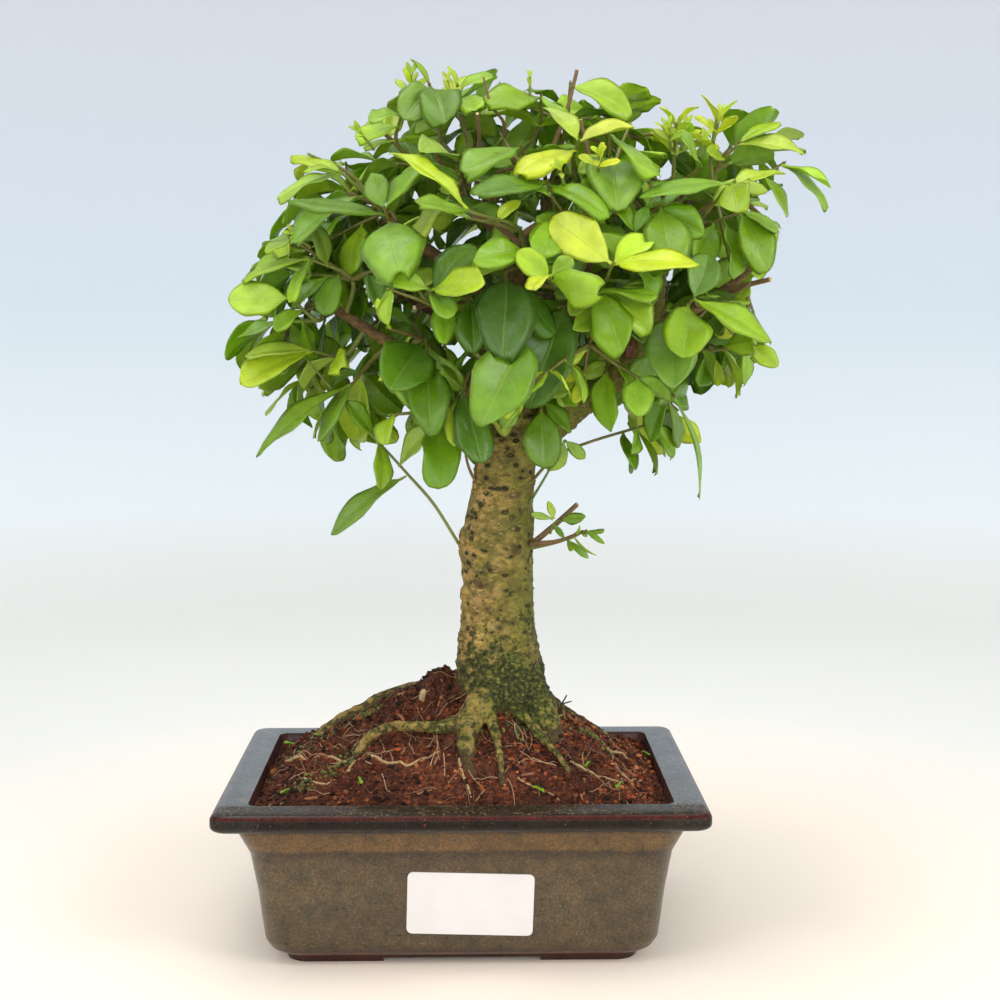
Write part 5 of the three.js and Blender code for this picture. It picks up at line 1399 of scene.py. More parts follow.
knee = np.exp(-(((skin[:, 0] - 7) / 7) ** 2) - ((skin[:, 2] - 100) / 9) ** 2) * (skin[:, 1] < -10)
moss = moss * (1 - 0.55 * on_root) * (1 - 0.5 * knee)
# Bark is darker within a few millimetres above the soil and on the roots at the back.
above_soil = skin[:, 2] - soil_top(skin[:, 0], skin[:, 1])
dark_near_soil = np.clip(1.15 - above_soil / 4.5 + 0.5 * patchy, 0, 1) * np.clip(off_axis - trunk_radius + 2, 0, 1)
dark_near_soil = np.maximum(dark_near_soil, np.clip(0.45 + 0.6 * patchy, 0, 1) * (skin[:, 1] > 5) * on_root)
dark_near_soil = dark_near_soil * (skin[:, 2] < 108)
far_left = np.clip((-30 - skin[:, 0]) / 18, 0, 1) * (skin[:, 2] < 112)
moss = np.clip(np.maximum(moss, far_left * (0.2 + patchy)), 0, 1)
lift += moss * (0.35 + 0.5 * np.clip(smooth_noise(skin, 0.95, 12), 0, 1))
shaped = skin + normals * lift[:, None]
wood.data.vertices.foreach_set("co", metres(shaped).astype(np.float32).ravel())
wood.data.polygons.foreach_set("use_smooth", [True] * len(wood.data.polygons))
wood.data.update()
BARK_MASKS = {
    "lip": lip_mask, "core": core_mask, "knot": np.clip(knot_mask, 0, 1), "algae": algae, "moss": moss,
    "aged": np.clip(thick + 0.6 * on_limb, 0, 1), "dark_near_soil": dark_near_soil, "limb": on_limb * (1 - on_trunk),
    "ringed": np.clip(on_trunk * (1 - on_root) * (1 - 0.6 * moss), 0, 1),
}
for title, numbers in BARK_MASKS.items():
    layer = wood.data.attributes.new(title, "FLOAT", "POINT")
    layer.data.foreach_set("value", numbers.astype(np.float32))

# Bark: pale brown on the old wood, darker on the young, with algae, rows of dark marks, moss with painted
# shade and highlights, painted shade in its creases, and darker towards the soil
bark = Shading("bark_skin")
grain = bark.noise(3.0, 5, vector=bark.scaled(1000, 1000, 1800))
fleck = bark.noise(0.9, 4, roughness=0.7)
old = bark.ramp(grain, [
    (0.26, srgb(94, 74, 32)), (0.42, srgb(146, 116, 56)), (0.58, srgb(176, 146, 78)),
    (0.75, srgb(206, 178, 108)),
])
flush = bark.ramp(bark.noise(9, 4), [(0.45, 0.0), (0.62, 0.55)])
old = bark.mix(flush, old, srgb(176, 132, 92))
young = bark.ramp(grain, [(0.3, srgb(70, 52, 30)), (0.55, srgb(106, 80, 46)), (0.75, srgb(140, 110, 66))])
coloured = bark.mix(bark.value("aged"), young, old)
green = bark.ramp(fleck, [(0.3, srgb(52, 62, 12)), (0.55, srgb(98, 106, 24)), (0.75, srgb(142, 144, 50))])
coloured = bark.cover(coloured, green, bark.value("algae"), 0.85)
sway = bark.node("TexNoise", {"Vector": bark.scaled(), "Scale": 0.4, "Detail": 2.0}).outputs[1]
swayed = bark.node("VectorMath", {0: bark.scaled(1000, 1000, 1500), 1: sway}, operation="ADD").outputs[0]
mark_gap = bark.cells(5.4, vector=swayed, randomness=0.9)
wobbly = bark.times(bark.minus(bark.noise(1.4, 3), 0.5), 0.3)
mark_gap = bark.plus(mark_gap, wobbly)
mark = bark.ramp(mark_gap, [(0.06, 0.3), (0.13, 1.0), (0.23, 1.0), (0.3, 0.0)])
crowd = bark.ramp(bark.noise(7, 3, vector=bark.scaled(1000, 1000, 2000)), [(0.4, 0.0), (0.46, 1.0)])
smudge = bark.times(bark.ramp(mark_gap, [(0.2, 0.8), (0.5, 0.0)]), crowd)
stain = bark.ramp(bark.noise(6, 4, vector=bark.scaled(1000, 1000, 1500)), [(0.47, 0.0), (0.57, 0.65)])
coloured = bark.cover(coloured, srgb(88, 82, 34), stain, bark.value("ringed"))
coloured = bark.cover(coloured, srgb(84, 78, 34), smudge, bark.value("ringed"))
mark = bark.times(bark.times(mark, crowd), bark.value("ringed"))
coloured = bark.cover(coloured, srgb(34, 31, 14), mark, 0.95)
small_gap = bark.cells(2.6, vector=bark.scaled(1000, 1000, 1300))
small_gap = bark.plus(small_gap, wobbly)
small = bark.ramp(small_gap, [(0.02, 0.2), (0.1, 1.0), (0.22, 1.0), (0.32, 0.0)])
small = bark.times(small, bark.ramp(bark.noise(13, 2), [(0.42, 0.0), (0.56, 0.75)]))
coloured = bark.cover(coloured, srgb(62, 56, 26), small, bark.value("ringed"))
coloured = bark.cover(coloured, srgb(54, 48, 22), bark.value("lip"), 0.85)
coloured = bark.cover(coloured, srgb(172, 148, 96), bark.value("core"), 0.6)
dot_gap = bark.cells(2.2)
dot_rim = bark.times(bark.ramp(dot_gap, [(0.12, 0.0), (0.2, 1.0), (0.34, 0.0)]), bark.value("limb"))
coloured = bark.cover(coloured, srgb(52, 44, 20), dot_rim, 0.8)
dot_core = bark.times(bark.ramp(dot_gap, [(0.1, 1.0), (0.17, 0.0)]), bark.value("limb"))
coloured = bark.cover(coloured, srgb(206, 190, 140), dot_core, 0.9)
coloured = bark.cover(coloured, srgb(40, 30, 20), bark.value("knot"), 0.85)
# Moss greens with painted shade and painted highlights: the near-black stop stands for shade between the
# tufts, the palest for highlights on them.
tuft = bark.noise(1.5, 4, roughness=0.65)
moss_green_shade_and_highlight = bark.ramp(tuft, [
    (0.36, srgb(20, 23, 8)), (0.48, srgb(42, 46, 15)), (0.58, srgb(80, 84, 28)),
    (0.7, srgb(132, 132, 56)),
])
break_up = bark.times(bark.minus(bark.noise(3.2, 5, roughness=0.62), 0.5), 2.0)
moss_cover = bark.ramp(bark.plus(bark.value("moss"), break_up), [(0.3, 0.0), (0.52, 0.95)])
coloured = bark.mix(moss_cover, coloured, moss_green_shade_and_highlight)
# Darker brown within a few millimetres above the soil and on the back roots.
near_soil_colour = bark.ramp(fleck, [(0.3, srgb(40, 26, 16)), (0.5, srgb(70, 56, 30)), (0.72, srgb(104, 92, 50))])
near_soil_cover = bark.ramp(bark.plus(bark.value("dark_near_soil"), break_up), [(0.35, 0.0), (0.65, 0.95)])
coloured = bark.mix(near_soil_cover, coloured, near_soil_colour)
# Darker lines along the bark's fine creases: painted shade in the creases.
crease_shade = bark.ramp(bark.noise(1.4, 4, vector=bark.scaled(1000, 1000, 2600)), [(0.36, 0.55), (0.46, 1.0)])
coloured = bark.shaded(coloured, crease_shade, 0.75)
relief = bark.plus(grain, bark.times(fleck, 0.6))
relief = bark.plus(relief, bark.times(bark.plus(mark, dot_core), 0.7))
bark.set(
    Base_Color=coloured,
    Roughness=bark.ramp(fleck, [(0.3, 0.68), (0.7, 0.9)]),
    Specular_IOR_Level=0.3,
    Normal=bark.bump(relief, 0.55, 0.8),
)
piece(wood, bark.material, "bark", ["trunk_roots_and_branches"])

# Cut stubs and bare twigs
twigs = Pile()
TWIG_BROWN = srgb(118, 92, 56)
TWIG_CUT = srgb(196, 168, 120)
for number, (start, end, radius) in enumerate(STUBS):
    start = np.array(start, float)
    end = np.array(end, float)
    middle = (start + end) / 2 + (1.2, -0.8, 0.6)
    twig_rows = [(*start, radius * 1.15), (*middle, radius), (*end, radius * 0.85)]
    twigs.add(*tube(twig_rows, 10, 7, 0.1, number, round_end=False), TWIG_BROWN)
    beyond = end + unit(end - start) * 0.35
    twigs.add(*tube([(*end, radius * 0.8), (*beyond, radius * 0.7)], 10, 1, round_end=False), TWIG_CUT)
BARE_TWIGS = [
    [[25, -3, 159.5, 1.3], [33, -7, 161, 1.0], [39, -9, 162, 0.8], [49.9, -17, 167.2, 0.5]],
    [[20, -34, 272, 1.7], [23, -44, 282, 1.5], [29, -49, 287, 1.1], [34.5, -52, 291.2, 0.7]],
    [[23, -42, 280, 1.4], [12, -52, 287, 1.0], [0.3, -62, 292, 0.8]],
    [[84, -20, 292, 1.1], [76, -34, 300, 0.9], [68, -40, 303, 0.7]],
    [[14, 2, 318, 0.9], [17, -14, 328, 0.7], [12, -20, 334, 0.6], [9, -24, 344, 0.4]],
    [[8, -2, 191, 1.1], [-2, -4, 203, 0.9], [-11, -6, 211, 0.7]],
    [[8, -4, 182, 0.8], [3, -8, 192, 0.6], [1, -8, 201.6, 0.45]],
    [[104, -8, 262, 1.0], [109.6, -22, 262.9, 0.7], [112.8, -26, 265.5, 0.5]],
]
add_tubes(twigs, BARE_TWIGS, 8, 5, 0.1, 40, TWIG_BROWN)
GREEN_TWIGS = [
    [[24, -3, 171, 0.7], [34, -7, 188, 0.5], [41.7, -10, 203.2, 0.4]],
    [[-36, -14, 206, 0.55], [-48, -15, 220, 0.5], [-61, -15, 235.5, 0.4]],
]
add_tubes(twigs, GREEN_TWIGS, 8, 6, 0.05, 60, srgb(98, 116, 58))
twig_piece = twigs.build("twigs_and_stubs", sharp=50)
twig_look = simple_look(
    "twig_skin", (1.2, 4), [(0.3, 0.7), (0.7, 1.25)], (1, 2), (0.65, 0.85), (0.8, 3), (0.2, 0.8),
    tinted=True,
)
piece(twig_piece, twig_look, "bark")

# Leaves


def random_numbers(seed):
    """Seeded random numbers from 0 to 1, the same ones that the part's own leaves were placed with."""
    state = seed & 0xFFFFFFFF
    while True:
        state = (state + 0x6D2B79F5) & 0xFFFFFFFF
        t = ((state ^ (state >> 15)) * (state | 1)) & 0xFFFFFFFF
        t ^= (t + (((t ^ (t >> 7)) * (t | 61)) & 0xFFFFFFFF)) & 0xFFFFFFFF
        yield ((t ^ (t >> 14)) & 0xFFFFFFFF) / 4294967296


def bent_leaf(root, midrib, face, length, half_width, numbers):
    """Pose of a leaf: its place, directions and size, and how it is arched, folded and waved."""
    face = unit(face - midrib * face.dot(midrib))
    arch = 0.1 + 0.16 * next(numbers)
    lifted = unit(midrib + face * arch * 0.9)
    face = unit(face - lifted * face.dot(lifted))
    across = np.cross(face, lifted)
    fold = 0.12 + 0.3 * next(numbers)
    wave = (next(numbers) - 0.5) * 0.2
    return {
        "root": root, "midrib": lifted, "face": face, "across": across, "length": length,
        "half_width": half_width, "arch": arch, "fold": fold, "wave": wave,
    }


def paired_leaf(shoot, seed, pair, side, attempt):
    """Place and lie of one leaf that grows by rule."""
    numbers = random_numbers(seed * 16 + attempt)

    def jitter(size):
        return (next(numbers) - 0.5) * 2 * size

    foot, tip, blades = shoot["foot"], shoot["tip"], shoot["blades"]
    unrest = 0.35 + 0.12 * attempt
    last = not blades and pair == shoot["pairs"] - 1
    along = unit(tip - foot)
    t = 0.15 + 0.35 * pair if blades else 0.3 + 0.67 * pair / (shoot["pairs"] - 1)
    level = unit(np.cross(along, UP))
    rising = np.cross(level, along)
    roll = (pair % 2) * 0.95 + jitter(unrest)
    axis = level * side * math.cos(roll) + rising * side * math.sin(roll)
    spread = (0.7 if last else 1.0) + jitter(unrest * 0.6)
    midrib = along * math.cos(spread) + axis * math.sin(spread)
    midrib = unit(midrib + UP * (-1.3 * shoot["droop"] + jitter(unrest * 0.4)))
    root = foot + (tip - foot) * t
    face = unit(root - CROWN) * 0.8 + UP * (0.6 - 0.2 * shoot["droop"])
    face = face + np.array([jitter(unrest), jitter(unrest), jitter(unrest)])
    length = shoot["leaf"] * (0.84 if last else 1) * (1 - 0.05 * attempt) * (0.93 + 0.12 * next(numbers))
    half_width = length * LEAF_ASPECT * shoot["slim"] * (0.46 + 0.08 * next(numbers))
    return bent_leaf(root, midrib, face, length, half_width, numbers)


def placed_leaf(shoot, seed, blade, attempt):
    """Place and lie of one leaf that is given by its tip and by how wide it looks from the front."""
    t, x, y, z, wide = blade[:5]
    numbers = random_numbers(seed * 16 + attempt)

    def jitter(size):
        return (next(numbers) - 0.5) * 2 * size * attempt

    root = shoot["foot"] + (shoot["tip"] - shoot["foot"]) * min(t, 0.97)
    reach = np.array([x + jitter(1), y - 1.5 * attempt, z + jitter(1)]) - root
    length = np.linalg.norm(reach) * (1 - 0.04 * attempt)
    midrib = unit(reach)
    sideways = unit(np.cross(midrib, FRONT))
    if sideways[2] < 0:
        sideways = -sideways
    turn = math.acos(min(1, wide / LEAF_ASPECT)) + jitter(0.12)
    face = FRONT * math.cos(turn) + sideways * math.sin(turn)
    broad = max(wide, LEAF_ASPECT * 0.9)
    half_width = length * (broad - 0.6 * max(broad - 0.6, 0)) / 2
    half_width *= min(max(0.55 + wide, 0.7), 1)
    if len(blade) > 6:
        half_width *= blade[6]
    return bent_leaf(root, midrib, face, length, half_width, numbers)


def shoot_leaves(shoot, index):
    """Leaves of a shoot: for each a rule that gives its pose for an attempt, and its green."""
    for i, blade in enumerate(shoot["blades"]):
        tone = blade[5] if len(blade) > 5 else shoot["tone"]
        yield partial(placed_leaf, shoot, index * 32 + i, blade), tone
    older = shoot["tone"] if shoot["leaf"] < 16 else min(shoot["tone"] * 0.9, 0.6)
    for pair in range(shoot["pairs"] - 1, -1, -1):
        for side in (-1, 1):
            seed = index * 32 + 16 + 2 * pair + (1 if side > 0 else 0)
            yield partial(paired_leaf, shoot, seed, pair, side), older


# Blade: rows along the midrib and columns across it
ROW_PLACES = np.array([
    0, 0.04, 0.085, 0.13, 0.2, 0.29, 0.385, 0.48, 0.575, 0.67, 0.76, 0.845, 0.915, 0.965, 1.0,
])
COLUMN_PLACES = np.array([-1, -0.74, -0.44, -0.13, 0, 0.13, 0.44, 0.74, 1])
FEWER_ROWS = np.array([0, 0.045, 0.1, 0.18, 0.29, 0.42, 0.55, 0.68, 0.8, 0.9, 0.965, 1.0])
FEWER_COLUMNS = np.array([-1, -0.6, -0.14, 0, 0.14, 0.6, 1])
STALK_SHARE = 0.085


def blade_faces(row_count, column_count):
    """Faces of a closed blade whose two sides meet at its edge."""
    top = np.arange(row_count * column_count).reshape(row_count, column_count)
    under = top.copy()
    inner = np.arange((row_count - 2) * (column_count - 2)).reshape(row_count - 2, column_count - 2)
    under[1:-1, 1:-1] = top.size + inner
    faces = []
    for r in range(row_count - 1):
        for c in range(column_count - 1):
            faces.append([top[r, c], top[r, c + 1], top[r + 1, c + 1], top[r + 1, c]])
            faces.append([under[r, c], under[r + 1, c], under[r + 1, c + 1], under[r, c + 1]])
    return [[int(i) for i in face] for face in faces]


BLADE_FACES = blade_faces(len(ROW_PLACES), len(COLUMN_PLACES))
FEWER_FACES = blade_faces(len(FEWER_ROWS), len(FEWER_COLUMNS))


def blade_shape(pose, chance, fewer=False):
    """Points and blade coordinates of a fine blade that lies as the pose says."""
    length = pose["length"]
    half_width = pose["half_width"]
    places = (FEWER_ROWS, FEWER_COLUMNS) if fewer else (ROW_PLACES, COLUMN_PLACES)
    u, q = np.meshgrid(*places, indexing="ij")
    s = np.clip((u - STALK_SHARE) / (1 - STALK_SHARE), 0, 1)
    base_power = chance.uniform(0.58, 0.95)
    tip_power = chance.uniform(0.42, 0.74)
    peak = 1.03 * base_power / (base_power + tip_power)
    greatest = peak ** base_power * (1.03 - peak) ** tip_power
    spread = s ** base_power * (1.03 - s) ** tip_power / greatest
    stalk = 0.62 / half_width
    spread = np.maximum(spread, stalk * np.clip(1.15 - 0.3 * u / STALK_SHARE, 0.7, 1.15))
    y = half_width * spread * q
    notch = max(chance.uniform(-1.0, 1.4) - 1.0, 0) * 0.09
    rounding = 0.03 * (1 - 1.4 * q * q) - notch * np.exp(-((q / 0.4) ** 2))
    x = length * (u + rounding * s ** 7)
    phase = chance.uniform(0, 6.28, 4)
    ripples = chance.uniform(0.9, 2.2, 2)
    ruffle = half_width * chance.uniform(0.06, 0.22)
    side_phase = np.where(q < 0, phase[0], phase[1])
    side_ripples = np.where(q < 0, ripples[0], ripples[1])
    folded = pose["fold"] + chance.uniform(-0.1, 0.3)
    bend = folded * np.abs(y) - pose["arch"] * length * u * u + pose["wave"] * y * np.sin(7 * u)
    bend = bend + ruffle * q * q * np.sin(side_phase + 6.28 * side_ripples * u) * np.sqrt(s)
    bend = bend - chance.uniform(0.0, 0.4) * half_width * np.abs(q) ** 3 * np.sqrt(s)
    bend = bend - chance.uniform(-0.04, 0.13) * length * s ** 3
    wavy = half_width * 0.05 * np.sin(phase[2] + 15 * u + 2.5 * np.sign(q)) * np.abs(q) ** 4
    wavy = wavy * np.sin(math.pi * s)
    y = y + wavy * np.sign(q) + length * chance.uniform(-0.07, 0.07) * s * s
    bend = bend - 0.16 * np.exp(-((q / 0.16) ** 2)) * np.clip(s * 6, 0, 1)
    half = np.where(u < STALK_SHARE + 0.02, 0.5, 0.17) * (1 - np.abs(q) ** 2)
    half = half + 0.16 * np.exp(-((q / 0.16) ** 2)) * (1 - 0.6 * s)
    twist = chance.uniform(-0.5, 0.5) * s * s
    y_turned = y * np.cos(twist)
    bend_turned = bend + y * np.sin(twist)

    def place(lift):
        return (
            pose["root"]
            + x[..., None] * pose["midrib"]
            + y_turned[..., None] * pose["across"]
            + (bend_turned + lift)[..., None] * pose["face"]
        )

    upper = place(half)
    lower = place(-half)
    rim = np.zeros(u.shape, bool)
    rim[[0, -1], :] = True
    rim[:, [0, -1]] = True
    upper[rim] = place(0 * half)[rim]
    points = np.concatenate([upper.reshape(-1, 3), lower[1:-1, 1:-1].reshape(-1, 3)])
    blade_uv = np.stack([u, q * 0.5 + 0.5], axis=-1)
    uvs = np.concatenate([blade_uv.reshape(-1, 2), blade_uv[1:-1, 1:-1].reshape(-1, 2)])
    return points, uvs


LEAF_TONES = [
    (0.0, (44, 82, 12)), (0.25, (84, 130, 18)), (0.5, (138, 180, 32)), (0.75, (184, 214, 56)),
    (1.0, (220, 228, 50)),
]


def leaf_colour(tone):
    """Linear colour of a leaf, from dark green (0) to yellow-lime (1)."""
    tone = min(max(tone, 0), 1)
    places = [stop[0] for stop in LEAF_TONES]
    return np.array([np.interp(tone, places, [srgb(*stop[1])[i] for stop in LEAF_TONES]) for i in range(3)])


STEM_UV = (0.0, 0.25)


class Foliage(Pile):
    """Leaves and stems of one part of the crown."""

    def leaf(self, pose, tone, chance, fewer=False):
        """A leaf whose green varies a little from root to tip."""
        points, uvs = blade_shape(pose, chance, fewer)
        colour = leaf_colour(tone + chance.uniform(-0.07, 0.07)) * chance.uniform(0.9, 1.1)
        # Each leaf's hue leans a little at random, most in blue; leaves that lean to blue are also greyed
        # towards blue-green: painted sheen of the sky's reflection, on top of the shader's gloss.
        lean = chance.uniform(-1, 1, 3)
        colour = colour * (1 + lean * (0.12, 0.04, 0.3))
        sheen_greying = 0.3 * max(lean[2], 0) * min(max(1.2 - tone, 0), 1)
        colour = colour * (1 - sheen_greying) + colour.sum() * 0.42 * np.array([0.6, 0.95, 0.66]) * sheen_greying
        paler = leaf_colour(tone + chance.uniform(0.05, 0.22))
        share = np.clip(0.15 + chance.uniform(-0.5, 0.7) * (uvs[:, 0] - 0.3), 0, 1)[:, None]
        self.add(points, FEWER_FACES if fewer else BLADE_FACES, 1, uvs)
        self.colours[-1] = colour * (1 - share) + paler * share

    def stem(self, rows_here, colour, steps, sides, seed=0):
        points, faces = tube(rows_here, sides, steps, 0.05, seed)
        self.add(points, faces, colour, STEM_UV)

    def bud(self, at, along, size, colour):
        """A pair of tiny scales round a pointed bud."""
        middle = at + along * size
        end = at + along * size * 2.2
        points, faces = tube([(*at, size * 0.5), (*middle, size * 0.75), (*end, size * 0.15)], 6, 3)
        self.add(points, faces, colour, STEM_UV)


def branch_candidates():
    """Points on the branches that a stem can grow from."""
    found = []
    for limb in [*LIMBS.values(), TRUNK[5:]]:
        for i, row in enumerate(limb):
            after = limb[min(i + 1, len(limb) - 1)]
            for share in (0, 0.25, 0.5, 0.75):
                found.append(np.array(row[:3], float) * (1 - share) + np.array(after[:3], float) * share)
    return found


CANDIDATES = branch_candidates()


def stem_start(shoot, packed):
    """The branch point whose stem agrees with the part's own, the nearest branch points tried first."""
    best = None
    for at in sorted(CANDIDATES, key=lambda point: np.linalg.norm(packed - point, axis=1).min()):
        rows_here = [(*at, 1.4), (*shoot["foot"], STEM_RADIUS), (*shoot["tip"], STEM_TIP_RADIUS)]
        points, _ = tube(rows_here, 4, 1, round_end=False)
        ring = points[4:12]
        gap = np.linalg.norm(packed[None] - ring[:, None], axis=2).min(axis=1)
        score = np.sort(gap)[:6].mean()
        if best is None or score < best[0]:
            best = (score, at)
        if score < SAME_STEM:
            break
    return best[1]


def fork_end(foot, tip, packed):
    """The end of a side stem, which the part moved a little where something else was in the way."""
    best = None
    for nudge in FORK_NUDGES:
        end = np.array(tip, float) + nudge
        points, _ = tube([(*foot, FORK_RADIUS), (*end, STEM_TIP_RADIUS)], 4, 1, round_end=False)
        gap = np.linalg.norm(packed[None] - points[4:8][:, None], axis=2).min(axis=1)
        score = np.sort(gap)[:3].mean()
        if best is None or score < best[0]:
            best = (score, end)
    return best[1]


def region_of(shoot):
    """Part of the crown that a shoot belongs to."""
    x, y, z = shoot["tip"]
    depth = "back" if y > 20 else "front" if y < -38 else "middle"
    if z > 325 and depth != "back":
        return "top"
    side = "left" if x < 8 else "right" if x > 60 else "centre"
    return depth + "_" + side


STEM_GREEN = np.array(srgb(128, 142, 58))
STEM_BROWN = np.array(srgb(124, 94, 54))
BUD_RED = np.array(srgb(120, 60, 42))
foliage = {}
placed_poses = []
for index, (title, shoot) in enumerate(SHOOTS.items()):
    node_name = "shoot_" + title
    packed = (vertex_values(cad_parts[node_name], "co") - POT_CENTRE) / MM
    slot = "leaf_young" if shoot["young"] else "leaf_mature"
    key = (region_of(shoot), slot)
    if key not in foliage:
        foliage[key] = (Foliage(), [])
    group, members = foliage[key]
    members.append(node_name)
    chance = np.random.default_rng(1000 + index)
    start = stem_start(shoot, packed)
    foot, tip = shoot["foot"], shoot["tip"]
    green_share = 0.8 if shoot["young"] else 0.45
    stem_colour = STEM_GREEN * green_share + STEM_BROWN * (1 - green_share)
    way = [(*point, 0.7 - 0.05 * i) for i, point in enumerate(shoot["way"])]
    way = way or [(*start, 1.2), (*foot, 0.85)]
    group.stem([*way, (*tip, 0.55)], stem_colour, 7, 8, index)
    bud_colour = STEM_GREEN if shoot["young"] else BUD_RED * 0.5 + STEM_GREEN * 0.5
    group.bud(tip, unit(tip - foot), 0.9, bud_colour)
    rules = list(shoot_leaves(shoot, index))
    for number, fork_tip in enumerate(shoot["forks"]):
        end = fork_end(foot, fork_tip, packed)
        middle = (foot + end) / 2 + (0, 0, 0.3)
        group.stem([(*foot, FORK_RADIUS), (*middle, 0.72), (*end, 0.55)], stem_colour, 5, 8)
        fork = leafy(shoot["tone"] - 0.06, foot, end, **FORK_LEAVES)
        rules += list(shoot_leaves(fork, 100 + 4 * index + number))
        group.bud(end, unit(end - foot), 0.8, STEM_GREEN)
    for rule, tone in rules:
        for attempt in range(LEAF_TRIES):
            pose = rule(attempt)
            end = (
                pose["root"] + pose["midrib"] * pose["length"]
                + pose["face"] * (LEAF_THICKNESS / 2 - pose["arch"] * pose["length"])
            )
            if np.linalg.norm(packed - end, axis=1).min() < SAME_LEAF:
                group.leaf(pose, tone + chance.uniform(-0.1, 0.1), chance)
                placed_poses.append(pose)
                break

# New growth at the tips, small leaves on the twig of the trunk, a dry leaf and seedlings in the soil


def free_leaf(group, root, tip, wide, tone, chance, facing=FRONT, colour=None):
    """A small leaf from root to tip."""
    reach = np.subtract(tip, root)
    length = np.linalg.norm(reach)
    midrib = unit(reach)
    face = np.asarray(facing, float) + (0.001, 0, 0.002)
    face = unit(face - midrib * face.dot(midrib))
    pose = {
        "root": np.array(root, float), "midrib": midrib, "face": face, "across": np.cross(face, midrib),
        "length": length, "half_width": length * wide / 2, "arch": 0.08, "fold": 0.25, "wave": 0.1,
    }
    group.leaf(pose, tone, chance, fewer=length < 14)
    if colour is not None:
        group.colours[-1] = np.broadcast_to(np.array(colour, float), group.colours[-1].shape)


small_growth = Foliage()
small_chance = np.random.default_rng(404)
SPRIGS = [
    [(-19.9, -6, 336), (-19.5, -7, 347), 8, 3, 0.8], [(-3.3, -6, 334), (-5, -8, 345), 6, 3, 0.85],
    [(27.4, -10, 336), (27.3, -12, 346), 4, 2, 0.8], [(51.3, -50, 305), (51, -60, 311), 8, 3, 0.9],
    [(83, -13, 318), (81.5, -16, 326), 7, 3, 0.85], [(87, -12, 318), (88.5, -15, 327), 7, 3, 0.85],
    [(99.1, -16, 320), (101.5, -19, 331), 6, 3, 0.92], [(92, -26, 314), (93.5, -30, 320), 7, 2, 0.8],
    [(38, -62, 300), (36, -70, 305), 7, 2, 0.8], [(104, -34, 296), (108, -42, 301), 7, 2, 0.8],
    [(-33, -30, 316), (-38, -36, 322), 7, 2, 0.75], [(-58, -26, 279), (-64, -31, 284), 6, 2, 0.7],
]
for foot, tip, leaf_length, pairs, tone in SPRIGS:
    foot = np.array(foot, float)
    tip = np.array(tip, float)
    along = unit(tip - foot)
    small_growth.stem([(*foot, 0.7), (*((foot + tip) / 2), 0.55), (*tip, 0.4)], STEM_GREEN, 4, 6)
    sideways = unit(np.cross(along, FRONT))
    third = np.cross(along, sideways)
    for pair in range(pairs):
        root = foot + (tip - foot) * (1 - 0.3 * pair)
        roll = pair * 1.35 + small_chance.uniform(-0.3, 0.3)
        for side in (-1, 1):
            spread = 0.35 + 0.28 * pair + small_chance.uniform(-0.1, 0.1)
            axis = (sideways * math.cos(roll) + third * math.sin(roll)) * side
            outward = along * math.cos(spread) + axis * math.sin(spread)
            end = root + outward * leaf_length * (0.7 + 0.2 * pair)
            free_leaf(small_growth, root, end, 0.36, tone, small_chance, FRONT + UP * 0.5)
SMALL_LEAVES = [
    ((37.3, -12, 171.5), (35.5, -14, 178.7), 0.42, 0.8),
    ((36.9, -12, 171.5), (28.7, -16, 173.9), 0.32, 0.5), ((40.6, -12, 171), (49.5, -16, 172.2), 0.5, 0.3),
    ((37.5, -12, 169), (40.8, -15, 164.3), 0.4, 0.35),
    ((49.8, -17, 167.4), (56.9, -20, 162.6), 0.26, 0.45),
    ((42.4, -12, 163.4), (50.2, -18, 156.7), 0.24, 0.45), ((41.7, -10, 203), (36, -8, 190), 0.62, 0.6),
    ((41.7, -10, 203), (50, -10, 196), 0.5, 0.62),
]
for root, tip, wide, tone in SMALL_LEAVES:
    free_leaf(small_growth, root, tip, wide, tone, small_chance)
small_growth.stem([(36, -8, 165, 0.6), (38, -10, 170, 0.5), (42, -11, 170.5, 0.4)], STEM_GREEN, 4, 6)
free_leaf(small_growth, (67, -38, 246), (64.4, -40, 237), 0.4, 0.5, small_chance, colour=srgb(112, 60, 34))
SEEDLINGS = [
    (-61, 9), (-40, -44), (-70, -38), (-74, 18), (30, -50), (62, -41), (49, -31), (78, 20), (11, -26),
    (39, -13),
]
for x, y in SEEDLINGS:
    ground = float(soil_top(x, y)[0])
    top = np.array([x + small_chance.uniform(-1, 1), y - 0.5, ground + small_chance.uniform(2, 3.6)])
    small_growth.stem([(x, y, ground - 0.5, 0.32), (*top, 0.25)], STEM_GREEN, 3, 5)
    swing = small_chance.uniform(0, math.pi)
    for side in (-1, 1):
        reach = np.array([math.cos(swing), math.sin(swing), 0.25])
        end = top + side * reach * small_chance.uniform(1.8, 2.9)
        free_leaf(small_growth, top, end, 0.62, 0.42, small_chance, UP + FRONT * 0.5)

# More leaves fill the crown, in pairs on twigs that grow from branches and stems towards free places


def leaf_probe(pose, rows_wanted=(0.22, 0.42, 0.62, 0.82, 1.0), columns_wanted=(-0.75, 0.0, 0.75)):
    """A few points on a blade, to keep leaves clear of each other."""
    found = []
    for u in rows_wanted:
        width = 0.0 if u > 0.97 else math.sin(math.pi * min(max((u - 0.05) / 0.95, 0), 1)) ** 0.7
        for q in columns_wanted if width else (0.0,):
            y = pose["half_width"] * width * q
            bend = pose["fold"] * abs(y) - pose["arch"] * pose["length"] * u * u
            on_midrib = pose["root"] + pose["midrib"] * pose["length"] * u
            found.append(on_midrib + pose["across"] * y + pose["face"] * bend)
    return np.array(found)


CAMERA_POINT = np.array(CAMERA_PLACE)


